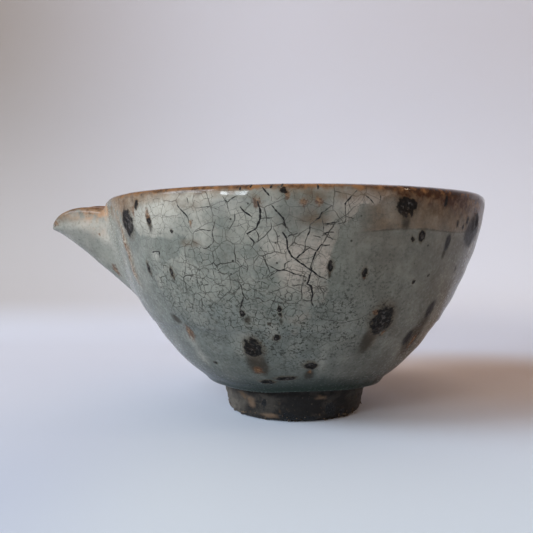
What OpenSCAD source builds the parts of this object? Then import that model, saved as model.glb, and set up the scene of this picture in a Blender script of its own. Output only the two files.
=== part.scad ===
// Katakuchi: a thrown stoneware pouring bowl with a pinched spout and a turned foot.
// Millimetres. The bowl turns about Z, stands on Z = 0 and pours towards -X.

/* [Bowl] */
// Outside diameter at the rim, over the glaze
rim_d = 120; // [104:1:140]
// Height from the table to the top of the lip, over the glaze
height = 68.2; // [58:0.2:84]
// Diameter of the flat underside that the foot ring is luted to
base_d = 47.4; // [46:0.2:54]
// Clay thickness at the lip
lip_t = 2.4; // [1.8:0.1:3.6]
// Clay thickness of the wall where it starts beside the foot
base_t = 6.4; // [4.5:0.1:8]
// Clay thickness of the floor at the centre
floor_t = 9.5; // [7:0.1:11]
// Angle from level at which the wall leaves the underside
base_angle = 8; // [2:0.5:15]
// How far the wall follows that angle before it turns up
base_run = 11.4; // [8:0.1:15]
// Angle from level at which the wall meets the lip
rim_angle = 83; // [76:0.5:88]
// How far the wall follows that angle below the lip
rim_run = 27; // [20:0.5:32]

/* [Foot ring] */
// Height of the ring, from the table to the bowl's underside
foot_h = 9.8; // [7:0.1:12]
// Diameter of the ring where it meets the bowl
foot_top_d = 46.8; // [42:0.2:47]
// Diameter of the ring at the table
foot_d = 43.6; // [40:0.2:46]
// Wall of the ring, at the bottom of the turned recess
foot_wall = 6; // [5:0.1:8]
// Depth of the turned recess inside the ring
recess_depth = 5.2; // [3:0.1:6.5]
// How much wider the recess is at the table
recess_flare = 0.9; // [0:0.1:1.4]
// Height of the point left by the turning tool at the recess's centre
tool_point_h = 1.1; // [0.4:0.1:2]
// Rounding of the ring's outer edge at the table
foot_edge_r = 2.4; // [1:0.1:2.8]

/* [Spout] */
// Distance from the bowl's axis to the spout's tip, over the glaze
spout_reach = 81.1; // [74:0.1:90]
// How far below the rim the keel, the spout's underside, leaves the wall
keel_root_drop = 33.4; // [28:0.2:38]
// Angle from level of the keel at the wall
keel_root_angle = 33; // [28:0.5:40]
// How far the keel follows that angle
keel_root_run = 12; // [8:0.5:14]
// How far below the rim the keel ends at the tip
keel_tip_drop = 9.1; // [8.4:0.1:12]
// Angle from level of the keel at the tip
keel_tip_angle = 21.5; // [12:0.5:30]
// How far the keel follows that angle
keel_tip_run = 11; // [6:0.5:14]
// Clay under the channel, measured straight down
keel_t = 3.4; // [2.6:0.1:4.6]
// How far below the rim the pouring lip lies at the tip
tip_drop = 6.6; // [4.2:0.1:7.6]
// How far below the rim the spout's side edges lie
edge_drop = 1.3; // [1:0.1:3.6]
// How much higher one side edge stands, the other being as much lower
edge_lean = 0.7; // [0:0.1:0.8]
// How far the side edges dip where they join the bowl
seam_dip = 1.3; // [0:0.1:2]
// Width across the spout's sides where they leave the rim
spout_w = 30; // [26:0.5:36]
// Width of the channel where it leaves the bowl's inside
channel_w = 21.5; // [16:0.5:23]
// Width across the pouring lip, between its two highest points
pour_w = 20; // [14:0.5:24]
// Rounding of the spout's edges
edge_r = 1; // [0.5:0.05:1.2]
// Rounding of the rim where the notch for the spout is cut
notch_r = 2; // [0.5:0.1:3]

/* [Glaze] */
// Thickness of the fired glaze
glaze_t = 0.7; // [0.4:0.05:1]
// Diameter round the foot at which the glaze stops
glaze_edge_d = 54; // [50:0.5:60]
// Extra thickness of the roll in which the glaze stops
glaze_roll = 0.6; // [0:0.1:1]

/* [Hidden] */
$fn = 96;

clay = "#4b4038";
glaze_grey = "#c3c2b8";
glaze_pale = "#d4d2c6";

// steps along the wall's curve and along the keel
wall_n = 12;
keel_n = 12;
// how deep the spout's solids start inside the surfaces that cut them
sink = 0.7;
// points across half of the spout and up its sides, and the shape of the sides
side_n = 11;
rise_n = 9;
side_power = 2.3;

// heights of the spout, which hangs from the rim
keel_root_z = height - keel_root_drop;
keel_tip_z = height - keel_tip_drop;
tip_z = height - tip_drop;
edge_z = height - edge_drop;

// cubic curve through two ends with two handles
function curve(a, b, c, d, u) =
    pow(1 - u, 3) * a + 3 * u * pow(1 - u, 2) * b + 3 * u * u * (1 - u) * c + pow(u, 3) * d;
function slope(a, b, c, d, u) =
    pow(1 - u, 2) * (b - a) + 2 * u * (1 - u) * (c - b) + u * u * (d - c);
function along(angle, run) = run * [cos(angle), sin(angle)];

// outside of the clay wall, as radius and height
lip_r = lip_t / 2;
w0 = [base_d / 2, foot_h];
w3 = [rim_d / 2 - glaze_t - lip_r * (1 - sin(rim_angle)), height - glaze_t - lip_r * (1 + cos(rim_angle))];
w1 = w0 + along(base_angle, base_run);
w2 = w3 - along(rim_angle, rim_run);
function wall_side(u) = let (s = slope(w0, w1, w2, w3, u)) [s.y, -s.x] / norm(s);
function wall_t(u) = base_t + (lip_t - base_t) * u;
// a point on the wall, d outside the clay
function skin(u, d) = curve(w0, w1, w2, w3, u) + d * wall_side(u);
// steps up the wall, close together where the glaze stops, and the coat's thickness on them
wall_at = concat([0], [for (k = [0:11]) 0.04 + 0.0175 * k], [for (k = [3:wall_n]) k / wall_n]);
function coat(u, d) = d == 0 ? 0
    : d + glaze_roll * exp(-pow((skin(u, 0).x - glaze_edge_d / 2 - 0.9) / 0.9, 2));
function outside(d) = [for (u = wall_at) skin(u, coat(u, d))];
function inside(d) = [for (k = [0:wall_n]) skin(k / wall_n, -d - wall_t(k / wall_n))];

// the lip is half a turn round this centre
lip_c = w3 - lip_r * wall_side(1);
function lip(r, from, to) =
    [for (k = [1:6]) lip_c + along(from + (to - from) * k / 6, r)];

// floor of the inside, a shallow dish
floor_z = recess_depth + floor_t;
function dish(d) = let (e = inside(d)[0], c = floor_z + d)
    [for (k = [0:5]) [e.x * k / 6, c + (e.y - c) * pow(k / 6, 2)]];

// wall and cavity radius at a height
wall_table = [for (p = outside(0)) [p.y, p.x]];
cavity_table = [for (p = inside(0)) [p.y, p.x]];
function wall_r(z) = lookup(z, wall_table);
function cavity_r(z) = lookup(z, cavity_table);

// keel of the clay spout, as radius and height, run on inside the wall
k0 = [wall_r(keel_root_z), keel_root_z];
k3 = [spout_reach - glaze_t, keel_tip_z];
k1 = k0 + along(keel_root_angle, keel_root_run);
k2 = k3 - along(keel_tip_angle, keel_tip_run);
k_in = k0 - along(keel_root_angle, 16);
keel_table = concat([[k_in.y, k_in.x]],
    [for (k = [0:keel_n]) let (p = curve(k0, k1, k2, k3, k / keel_n)) [p.y, p.x]]);
function keel_r(z) = lookup(z, keel_table);

// half angles that give the widths at the rim
function spread(part) = pow(max(0.02, -ln(part)), 1 / side_power);
function half_angle(w, r) = asin(w / 2 / r) / spread(sink / (spout_reach - r));
spout_a = half_angle(spout_w, rim_d / 2);
channel_a = half_angle(channel_w, rim_d / 2 - lip_t);
pour_a = asin(pour_w / 2 / spout_reach);
seam_a = asin(spout_w / rim_d);
function side(a, wide) = exp(-pow(abs(a) / wide, side_power));
function ease(t) = let (c = min(1, max(0, t))) c * c * (3 - 2 * c);

// height of the spout's clay edge at an angle from its middle
function edge(a) = tip_z - glaze_t + (edge_z - tip_z) * pow(sin(90 * min(1, abs(a) / pour_a)), 2)
    + edge_lean * (ease(a / pour_a) - ease(-a / pour_a))
    - seam_dip * ease((abs(a) - pour_a) / (seam_a - pour_a));

// radius of the spout's outside (c = 0) and of its channel (c = 1), and where each leaves the bowl
function start_r(c, z) = (c == 0 ? wall_r(z) : cavity_r(z)) - sink;
function end_r(c, z) = c == 0 ? keel_r(z) : keel_r(z - keel_t) - keel_t / 2;
function wide(c) = c == 0 ? spout_a : channel_a;
function spout_r(c, a, z) = let (r = start_r(c, z)) r + (end_r(c, z) - r) * side(a, wide(c));
function leave_a(c, z) = wide(c) * spread(min(0.98, sink / max(sink, end_r(c, z) - start_r(c, z))));

// a point square off that surface, out past it by d
function spout_pt(c, a, z, low, d) = let (r = spout_r(c, a, z + low),
    dr = (spout_r(c, a + 0.1, z + low) - spout_r(c, a - 0.1, z + low)) / 0.2 * 180 / PI,
    n = norm([r, dr]), x = r + d * r / n, y = -d * dr / n)
    [-x * cos(a) + y * sin(a), x * sin(a) + y * cos(a), z];

// columns of points, as shares of the angle at which the surface leaves the bowl
past = 1.25;
columns = [for (k = [-side_n:side_n]) past * sign(k) * pow(abs(k) / side_n, 1.1)];
function fade(x) = 1 - ease((abs(x) - 1) / (past - 1));

// solid between a grid of points, one column for each angle, and an upright edge inside the bowl
module block(grid, x) {
    n = len(grid);
    m = len(grid[0]);
    edge_pts = [for (j = [0:m - 1]) [x, 0, grid[0][j].z]];
    pts = concat([for (c = grid) each c], edge_pts);
    function at(i, j) = i * m + j;
    polyhedron(pts, concat(
        [for (i = [0:n], j = [0:m - 2]) let (q = (i + 1) % (n + 1))
            each [[at(i, j), at(q, j + 1), at(i, j + 1)], [at(i, j), at(q, j), at(q, j + 1)]]],
        [for (i = [0:n - 2]) [at(n, 0), at(i + 1, 0), at(i, 0)]],
        [for (i = [0:n - 2]) [at(n, m - 1), at(i, m - 1), at(i + 1, m - 1)]]));
}

// the spout as a full solid, g thicker than the clay
module spout_mass(g) {
    low = k0.y - 4;
    r = edge_r + g / 2;
    function pt(x, z, d) = spout_pt(0, x * leave_a(0, z), z, g / 2, 0.75 * g + d);
    block([for (x = columns) let (top = edge(x * leave_a(0, edge_z)) + g)
        concat([for (k = [0:rise_n]) pt(x, low + (top - r - low) * k / rise_n, 0)],
            [for (t = [40, 90]) pt(x, top - r + r * sin(t), -r * (1 - cos(t)))])],
        -wall_r(low) + 20);
}

// the room that the channel takes out of wall and spout, g narrower than the clay's channel
module channel(g) {
    low = k0.y - 4;
    r = edge_r + g / 2;
    rim = height - glaze_t;
    function pt(x, z, d) = spout_pt(1, x * leave_a(1, z), z, -g / 2, d * fade(x) - 0.75 * g);
    block([for (x = columns) let (top = edge(x * leave_a(1, edge_z)))
        concat([for (k = [0:rise_n]) pt(x, low + (top - r - low) * k / rise_n, 0)],
            [for (t = [40, 90]) pt(x, top - r + r * sin(t), r * (1 - cos(t)))],
            [for (k = [1, 2, 3]) pt(x, top + (rim - top) * k / 3, r + notch_r * pow(k / 3, 2))],
            [pt(x, rim + 8, r + notch_r)])],
        -cavity_r(low) + 20);
}

// the bowl filled to the top of its lip, g thicker than the clay
module filled(g) {
    rotate_extrude()
        polygon(concat([[0, foot_h]], outside(g), lip(lip_r + g, rim_angle - 90, 90),
            [[0, lip_c.y + lip_r + g]]));
}

// the room inside the clay wall, g narrower, open to the top of the lip
module cavity(g) {
    rotate_extrude()
        polygon(concat(dish(g), inside(g), lip(lip_r + g, rim_angle + 90, 90),
            [[lip_c.x, lip_c.y + lip_r + g + 2], [0, lip_c.y + lip_r + g + 2]]));
}

// thrown clay: wall, floor and the boss that the foot's recess is turned in
module bowl() color(clay) difference() {
    union() {
        filled(0);
        rotate_extrude() polygon([[0, recess_depth - tool_point_h], [2, recess_depth],
            [foot_d / 2 - foot_wall, recess_depth], [foot_d / 2 - foot_wall, foot_h], [0, foot_h]]);
    }
    cavity(0);
    channel(0);
}

// bare clay ring that the bowl stands on
module foot_ring() color(clay) {
    in_r = foot_d / 2 - foot_wall;
    rotate_extrude() polygon(concat(
        [[in_r, foot_h], [in_r, recess_depth], [in_r + recess_flare, 0.5], [in_r + recess_flare + 0.5, 0]],
        [for (t = [0:15:90]) [foot_d / 2 - foot_edge_r * (1 - sin(t)), foot_edge_r * (1 - cos(t))]],
        [[foot_top_d / 2, foot_h]]));
}

// pinched half funnel, luted to the outside of the wall over the notch
module spout() color(clay) difference() {
    spout_mass(0);
    filled(0);
    channel(0);
}

// coat on the outside, from the foot up over the lip
module outer_glaze() color(glaze_grey) difference() {
    union() { filled(glaze_t); spout_mass(glaze_t); }
    filled(0);
    spout_mass(0);
    channel(0);
    translate([0, 0, lip_c.y - lip_r]) cylinder(r = lip_c.x, h = 4 * lip_r + 10);
    cylinder(d = glaze_edge_d, h = w1.y + base_t);
}

// coat on the inside and in the channel
module inner_glaze() color(glaze_pale) intersection() {
    union() { filled(0); spout_mass(0); }
    difference() {
        union() { cavity(0); channel(0); }
        cavity(glaze_t);
        channel(glaze_t);
    }
}

bowl();
foot_ring();
spout();
outer_glaze();
inner_glaze();
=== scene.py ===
import math
import bmesh
import bpy
import numpy as np
from mathutils import Matrix, Vector


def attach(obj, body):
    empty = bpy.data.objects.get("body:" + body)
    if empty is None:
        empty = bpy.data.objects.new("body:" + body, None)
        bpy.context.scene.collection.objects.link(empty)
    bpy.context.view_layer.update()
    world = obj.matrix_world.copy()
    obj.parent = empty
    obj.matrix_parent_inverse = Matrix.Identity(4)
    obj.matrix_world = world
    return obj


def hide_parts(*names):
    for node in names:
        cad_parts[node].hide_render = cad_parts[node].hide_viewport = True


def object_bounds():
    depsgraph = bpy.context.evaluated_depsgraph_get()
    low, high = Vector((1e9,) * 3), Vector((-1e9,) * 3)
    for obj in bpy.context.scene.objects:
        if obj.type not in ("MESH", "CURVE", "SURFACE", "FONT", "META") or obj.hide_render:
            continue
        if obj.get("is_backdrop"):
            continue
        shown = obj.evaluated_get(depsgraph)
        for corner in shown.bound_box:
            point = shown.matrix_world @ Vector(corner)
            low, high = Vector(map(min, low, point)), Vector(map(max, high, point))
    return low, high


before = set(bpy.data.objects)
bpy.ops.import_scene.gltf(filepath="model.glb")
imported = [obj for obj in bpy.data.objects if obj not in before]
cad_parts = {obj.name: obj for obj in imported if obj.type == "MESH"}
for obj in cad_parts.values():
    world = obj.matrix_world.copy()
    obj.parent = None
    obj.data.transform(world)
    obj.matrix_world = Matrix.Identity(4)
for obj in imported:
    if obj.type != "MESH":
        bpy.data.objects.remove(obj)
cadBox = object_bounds()
scene = bpy.context.scene
scene.view_settings.view_transform = "Standard"
mm = 0.001
perTurn = 0.95  # mm along the wall for a degree of turn
print("frame loaded:", ", ".join(sorted(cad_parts)))


# a link or a value into a node's socket
def feed(tree, slot, item):
    if isinstance(item, Sock):
        tree.links.new(item.link, slot)
    else:
        slot.default_value = item


# a node's output that takes part in sums
class Sock:
    def __init__(self, tree, link):
        self.tree = tree
        self.link = link

    def calc(self, operation, *items):
        return Desk(self.tree).make("ShaderNodeMath", dict(enumerate(items)), {"operation": operation})

    def on(self, operation, *others):
        return self.calc(operation, self, *others)

    def low(self, other):
        return self.on("MINIMUM", other)

    def high(self, other):
        return self.on("MAXIMUM", other)

    def clip(self):
        return self.high(0.0).low(1.0)

    # contrast of a pattern, held between 0 and 1
    def sharp(self, gain, drop):
        return (self * gain - drop).clip()

    # a pattern of 0 to 1 as a push of half an amount either way
    def swing(self, amount):
        return (self - 0.5) * amount

    # eased from 0 at a to 1 at b; falls where a is the larger
    def ramp(self, a, b):
        values = {0: self, 1: a, 2: b, 3: 0.0, 4: 1.0}
        return Desk(self.tree).make("ShaderNodeMapRange", values, {"interpolation_type": "SMOOTHSTEP"})


# the signs of arithmetic make nodes, with a socket on either side of them
signs = {"add": "ADD", "sub": "SUBTRACT", "mul": "MULTIPLY", "truediv": "DIVIDE", "pow": "POWER"}
for sign, operation in signs.items():
    setattr(Sock, f"__{sign}__", lambda self, other, name=operation: self.calc(name, self, other))
    setattr(Sock, f"__r{sign}__", lambda self, other, name=operation: self.calc(name, other, self))


# lays out the nodes of one tree
class Desk:
    def __init__(self, tree):
        self.tree = tree

    def make(self, kind, values=None, settings=None, out=0):
        made = self.tree.nodes.new(kind)
        for key, value in (settings or {}).items():
            setattr(made, key, value)
        for key, value in (values or {}).items():
            feed(self.tree, made.inputs[key], value)
        return Sock(self.tree, made.outputs[out]) if len(made.outputs) else None

    def mix(self, part, a, b, blend="MIX"):
        settings = {"data_type": "RGBA", "blend_type": blend}
        return self.make("ShaderNodeMix", {0: part, 6: a, 7: b}, settings, 2)

    # colours laid over one another, each by its mask
    def lay(self, colour, *layers):
        for mask, over in layers:
            colour = self.mix(mask, colour, over)
        return colour

    def vec(self, operation, a, b):
        return self.make("ShaderNodeVectorMath", {0: a, 1: b}, {"operation": operation})

    def scale(self, vector, amount):
        return self.make("ShaderNodeVectorMath", {0: vector, "Scale": amount}, {"operation": "SCALE"})

    def part(self, vector, axis):
        return self.make("ShaderNodeSeparateXYZ", {0: vector}, out=axis)

    def attr(self, name, out=2):
        return self.make("ShaderNodeAttribute", settings={"attribute_name": name}, out=out)

    # object coordinates, for materials
    def here(self):
        return self.make("ShaderNodeTexCoord", out=3)

    # points of the mesh, for trees that make one
    def position(self):
        return self.make("GeometryNodeInputPosition")

    def noise(self, where, size, detail, rough=0.55, out=0):
        values = {"Vector": where, "Scale": 1 / (size * mm), "Detail": detail, "Roughness": rough}
        return self.make("ShaderNodeTexNoise", values, out=out)

    # lines between cells of that size in mm: 1 on a line, 0 past its width
    def net(self, where, size, width, core):
        settings = {"feature": "DISTANCE_TO_EDGE", "voronoi_dimensions": "2D"}
        edge = self.make("ShaderNodeTexVoronoi", {"Vector": where, "Scale": 1 / (size * mm)}, settings)
        return (edge * size / width.high(0.001)).ramp(1.0, core)

    # distance to scattered points, and a chance of 0 to 1 for each of them
    def scatter(self, where, pitch):
        values = {"Vector": where, "Scale": 1 / (pitch * mm)}
        away, chance = (self.make("ShaderNodeTexVoronoi", values, out=out) for out in (0, 1))
        return away, self.make("ShaderNodeSeparateColor", {0: chance})

    # coordinates pushed about by so many mm
    def shaken(self, base, size, amount):
        push = self.vec("SUBTRACT", self.noise(base, size, 2.0, 0.5, 1), (0.5, 0.5, 0.5))
        return self.vec("ADD", base, self.scale(push, 2 * amount * mm))

    # 1 on the outline of a turned ellipsoid, less inside it
    def away(self, where, place, sizes, turned=(0.0, 0.0, 0.0)):
        values = {"Vector": where, "Location": place, "Rotation": turned, "Scale": sizes}
        local = self.make("ShaderNodeMapping", values, {"vector_type": "TEXTURE"})
        return self.make("ShaderNodeVectorMath", {0: local}, {"operation": "LENGTH"}, 1)

    def bump(self, height, strength, depth):
        values = {"Height": height, "Strength": strength, "Distance": depth * mm}
        return self.make("ShaderNodeBump", values)

    def surface(self, values, shine=0.36):
        return self.make("ShaderNodeBsdfPrincipled", {"Specular IOR Level": shine, **values})

    def show(self, shader):
        self.make("ShaderNodeOutputMaterial", {"Surface": shader})


# a screen colour of 0 to 255 as the linear one that nodes take
def tone(*levels):
    parts = [level / 255 for level in levels]
    return (*[c / 12.92 if c <= 0.04045 else ((c + 0.055) / 1.055) ** 2.4 for c in parts], 1.0)


def newFinish(name):
    finish = bpy.data.materials.new(name)
    finish.use_nodes = True
    finish.node_tree.nodes.clear()
    return finish, Desk(finish.node_tree)


def newPiece(name, mesh):
    mesh.polygons.foreach_set("use_smooth", np.ones(len(mesh.polygons), bool))
    piece = bpy.data.objects.new(name, mesh)
    scene.collection.objects.link(piece)
    return piece


# a mesh made by nodes: build lays them out, and sizes are the tree's named inputs
def grow(name, sizes, source, finish, build):
    tree = bpy.data.node_groups.new(name + "_tree", "GeometryNodeTree")
    for way in ("INPUT", "OUTPUT"):
        tree.interface.new_socket("Geometry", in_out=way, socket_type="NodeSocketGeometry")
    keys = {}
    for label, value in sizes.items():
        kind = "NodeSocketInt" if isinstance(value, int) else "NodeSocketFloat"
        keys[label] = tree.interface.new_socket(label, in_out="INPUT", socket_type=kind).identifier
    desk = Desk(tree)
    entry = tree.nodes.new("NodeGroupInput")
    shape = build(desk, {slot.name: Sock(tree, slot) for slot in entry.outputs if slot.name})
    shape = desk.make("GeometryNodeRealizeInstances", {"Geometry": shape})
    shape = desk.make("GeometryNodeSetMaterial", {"Geometry": shape, "Material": finish})
    desk.make("NodeGroupOutput", {"Geometry": shape})
    holder = bpy.data.objects.new(name + "_source", source)
    scene.collection.objects.link(holder)
    maker = holder.modifiers.new("maker", "NODES")
    maker.node_group = tree
    for label, value in sizes.items():
        maker[keys[label]] = value
    seen = holder.evaluated_get(bpy.context.evaluated_depsgraph_get())
    mesh = bpy.data.meshes.new_from_object(seen)
    mesh.name = name
    holder.modifiers.clear()
    bpy.data.objects.remove(holder)
    work = bmesh.new()
    work.from_mesh(mesh)
    bmesh.ops.recalc_face_normals(work, faces=work.faces)
    work.to_mesh(mesh)
    work.free()
    return newPiece(name, mesh)


# bare edges along lines of points in mm, for a tree to follow
def wires(name, lines):
    verts, edges = [], []
    for line in lines:
        edges += [(len(verts) + k, len(verts) + k + 1) for k in range(len(line) - 1)]
        verts += (np.array(line, float) * mm).tolist()
    mesh = bpy.data.meshes.new(name)
    mesh.from_pydata(verts, edges, [])
    return mesh


# numbers for the mesh work
def ease(t):
    t = np.clip(t, 0, 1)
    return t * t * (3 - 2 * t)


def rise(x, start, run):
    return ease((x - start) / run)


def fall(x, end, run):
    return ease((end - x) / run)


def bell(x, width):
    return np.exp(-(x / width) ** 2)


def wrap(degrees):
    return (degrees + 180) % 360 - 180


def softMax(a, b, k):
    h = np.clip(k - np.abs(a - b), 0, None) / k
    return np.maximum(a, b) + h * h * k / 4


def tight(values):
    return np.ascontiguousarray(values, dtype=np.float32)


# smooth seeded noise of about -1 to 1 over points in mm
def waves(points, size, seed, count=28):
    dice = np.random.default_rng(seed)
    total = np.zeros(points.shape[:-1])
    for k in range(count):
        way = dice.normal(size=3)
        way *= 2 * math.pi / (size * dice.uniform(0.7, 1.6)) / np.linalg.norm(way)
        total += np.sin(points @ way + dice.uniform(0, 2 * math.pi))
    return total / math.sqrt(count) / 1.1


# curves as radius and height: a point of the cubic, and the way out of its side
def cubic(ends, u):
    a, b, c, d = ends
    u = np.asarray(u, float)[..., None]
    v = 1 - u
    return v ** 3 * a + 3 * u * v ** 2 * b + 3 * u * u * v * c + u ** 3 * d


def cubicSide(ends, u):
    a, b, c, d = ends
    u = np.asarray(u, float)[..., None]
    v = 1 - u
    s = v ** 2 * (b - a) + 2 * u * v * (c - b) + u * u * (d - c)
    return np.stack([s[..., 1], -s[..., 0]], -1) / np.linalg.norm(s, axis=-1, keepdims=True)


def along(angle, run):
    return run * np.array([math.cos(math.radians(angle)), math.sin(math.radians(angle))])


# cubic that leaves each end at an angle, and follows it for so many mm
def handles(start, startAngle, startRun, end, endAngle, endRun):
    return [start, start + along(startAngle, startRun), end - along(endAngle, endRun), end]


# form of the pot, in mm and degrees, as thrown, pinched and glazed
form = {
    # bowl
    "rimD": 120.0, "height": 68.2, "baseD": 47.4, "footH": 9.8, "floorZ": 14.7, "lipT": 2.4, "baseT": 6.4,
    "baseAngle": 8.0, "baseRun": 11.4, "rimAngle": 83.0, "rimRun": 27.0,
    # spout
    "reach": 81.1, "keelRootZ": 34.8, "keelRootAngle": 33.0, "keelRootRun": 12.0, "keelIn": 16.0,
    "keelTipZ": 59.1, "keelTipAngle": 21.5, "keelTipRun": 11.0, "keelT": 3.4,
    "tipZ": 61.6, "edgeZ": 66.9, "edgeLean": 0.7, "seamDip": 1.3, "seamTurn": 10.4, "seamRun": 3.4,
    "spoutW": 30.0, "channelW": 21.5, "pourW": 20.0, "sink": 0.7, "sidePower": 2.3,
    # glaze: the CAD's coat, the coat here, and how much it softens the spout's joins
    "cadCoat": 0.7, "coat": 0.6, "coatInside": 1.1, "coatThins": 0.25, "coatChannel": 0.2, "coatShare": 0.75,
    "glazeEdgeR": 27.0, "lipH": 1.75,
    "wallBlend": 2.6, "keelBlend": 2.2, "keelTurn": 20.0, "channelBlend": 3.0,
}
f = form
lipR = f["lipT"] / 2
rimA = math.radians(f["rimAngle"])
wallFoot = np.array([f["baseD"] / 2, f["footH"]])
lipEdge = np.array([f["rimD"] / 2 - lipR * (1 - math.sin(rimA)), f["height"] - lipR * (1 + math.cos(rimA))])
wall = handles(wallFoot, f["baseAngle"], f["baseRun"], lipEdge - f["cadCoat"], f["rimAngle"], f["rimRun"])
steps = np.linspace(0, 1, 301)
clayLine = cubic(wall, steps)
sideLine = cubicSide(wall, steps)
thickness = f["baseT"] + (f["lipT"] - f["baseT"]) * steps
outLine = clayLine + f["coat"] * sideLine
inClay = clayLine - thickness[:, None] * sideLine
inCoat = f["coatInside"] - f["coatThins"] * rise(steps, 0.9, 0.1)
inLine = clayLine - (thickness + inCoat)[:, None] * sideLine
root = np.array([np.interp(f["keelRootZ"], clayLine[:, 1], clayLine[:, 0]), f["keelRootZ"]])
tip = np.array([f["reach"] - f["cadCoat"], f["keelTipZ"]])
keel = handles(root, f["keelRootAngle"], f["keelRootRun"], tip, f["keelTipAngle"], f["keelTipRun"])
keelLine = np.vstack([root - along(f["keelRootAngle"], f["keelIn"]), cubic(keel, np.linspace(0, 1, 121))])


# angle at which a side of the spout has dropped to the wall, for a width there
def halfAngle(width, r):
    part = f["sink"] / (f["reach"] - r)
    return math.degrees(math.asin(width / 2 / r)) / max(0.02, -math.log(part)) ** (1 / f["sidePower"])


spoutA = halfAngle(f["spoutW"], f["rimD"] / 2)
channelA = halfAngle(f["channelW"], f["rimD"] / 2 - f["lipT"])
pourA = math.degrees(math.asin(f["pourW"] / 2 / f["reach"]))
seamA = math.degrees(math.asin(f["spoutW"] / f["rimD"]))


# radius of the clay spout, or of its channel, at an angle from the spout's middle
def spoutRaw(a, z, inner):
    line, wide = (inClay, channelA) if inner else (clayLine, spoutA)
    under, back = (f["keelT"], f["keelT"] / 2) if inner else (0, 0)
    start = np.interp(z, line[:, 1], line[:, 0]) - f["sink"]
    end = np.interp(z - under, keelLine[:, 1], keelLine[:, 0]) - back
    return start + (end - start) * np.exp(-(np.abs(a) / wide) ** f["sidePower"])


# the same with its glaze
def spoutSkin(a, z, inner):
    way, coat = (-1, f["coat"] + f["coatChannel"]) if inner else (1, f["coat"])
    probe = 0.1
    z = z + way * coat / 2
    r = spoutRaw(a, z, inner)
    turn = (spoutRaw(a + probe, z, inner) - spoutRaw(a - probe, z, inner)) / math.radians(2 * probe)
    return r + way * f["coatShare"] * coat * np.sqrt(1 + (turn / r) ** 2)


def outerRadius(a, z):
    underKeel = bell(a, f["keelTurn"]) * rise(z, 31, 4) * fall(z, 50, 9)
    blend = f["wallBlend"] + f["keelBlend"] * underKeel
    return softMax(np.interp(z, outLine[:, 1], outLine[:, 0]), spoutSkin(a, z, False), blend)


def innerRadius(a, z):
    return softMax(np.interp(z, inLine[:, 1], inLine[:, 0]), spoutSkin(a, z, True), f["channelBlend"])


# height of the lip's crest at an angle from the spout's middle
def crest(a):
    off = np.abs(a)
    lift = f["tipZ"] + (f["edgeZ"] - f["tipZ"]) * np.sin(np.radians(90 * np.minimum(1, off / pourA))) ** 2
    lift = lift + f["edgeLean"] * (ease(a / pourA) - ease(-a / pourA))
    lift = lift - f["seamDip"] * rise(off, pourA, seamA - pourA)
    thinner = f["cadCoat"] - f["coat"]
    top = f["height"] - thinner
    return lift + (top - lift) * rise(off, f["seamTurn"], f["seamRun"]) - thinner


# glaze as a grid of rows up the outside, over the lip and down the inside
glazeGrid = {
    "rollRows": 7, "wallRows": 84, "lipRows": 9, "insideRows": 62, "floorRows": 13, "depth": 0.45,
    "spoutStep": 0.42, "wallStep": 0.9, "squeezeFrom": 30.0, "inwardShare": 0.26,
    # the roll in which the glaze stops, and where it is thicker: share more, angle and width
    "edgeOut": 0.2, "edgeWander": 0.7, "rollT": 0.45, "rollShare": 0.018, "rollWidth": 1.5, "rollSink": 0.12,
    "rollMore": [(1.2, -165, 45), (0.5, -15, 35)],
}


# columns round the pot, closer together at the spout
def columnAngles():
    near, far = glazeGrid["spoutStep"], glazeGrid["wallStep"]
    a, found = 0.0, []
    while a < 180:
        found.append(a)
        a += near + (far - near) * float(rise(a, 17, 16))
    found = np.array(found) * (180 / a)
    return np.concatenate([-found[:0:-1], found, [180.0]])


def around(r, a, z):
    return np.stack([-r * np.cos(np.radians(a)), r * np.sin(np.radians(a)), z + 0 * a], -1)


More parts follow.
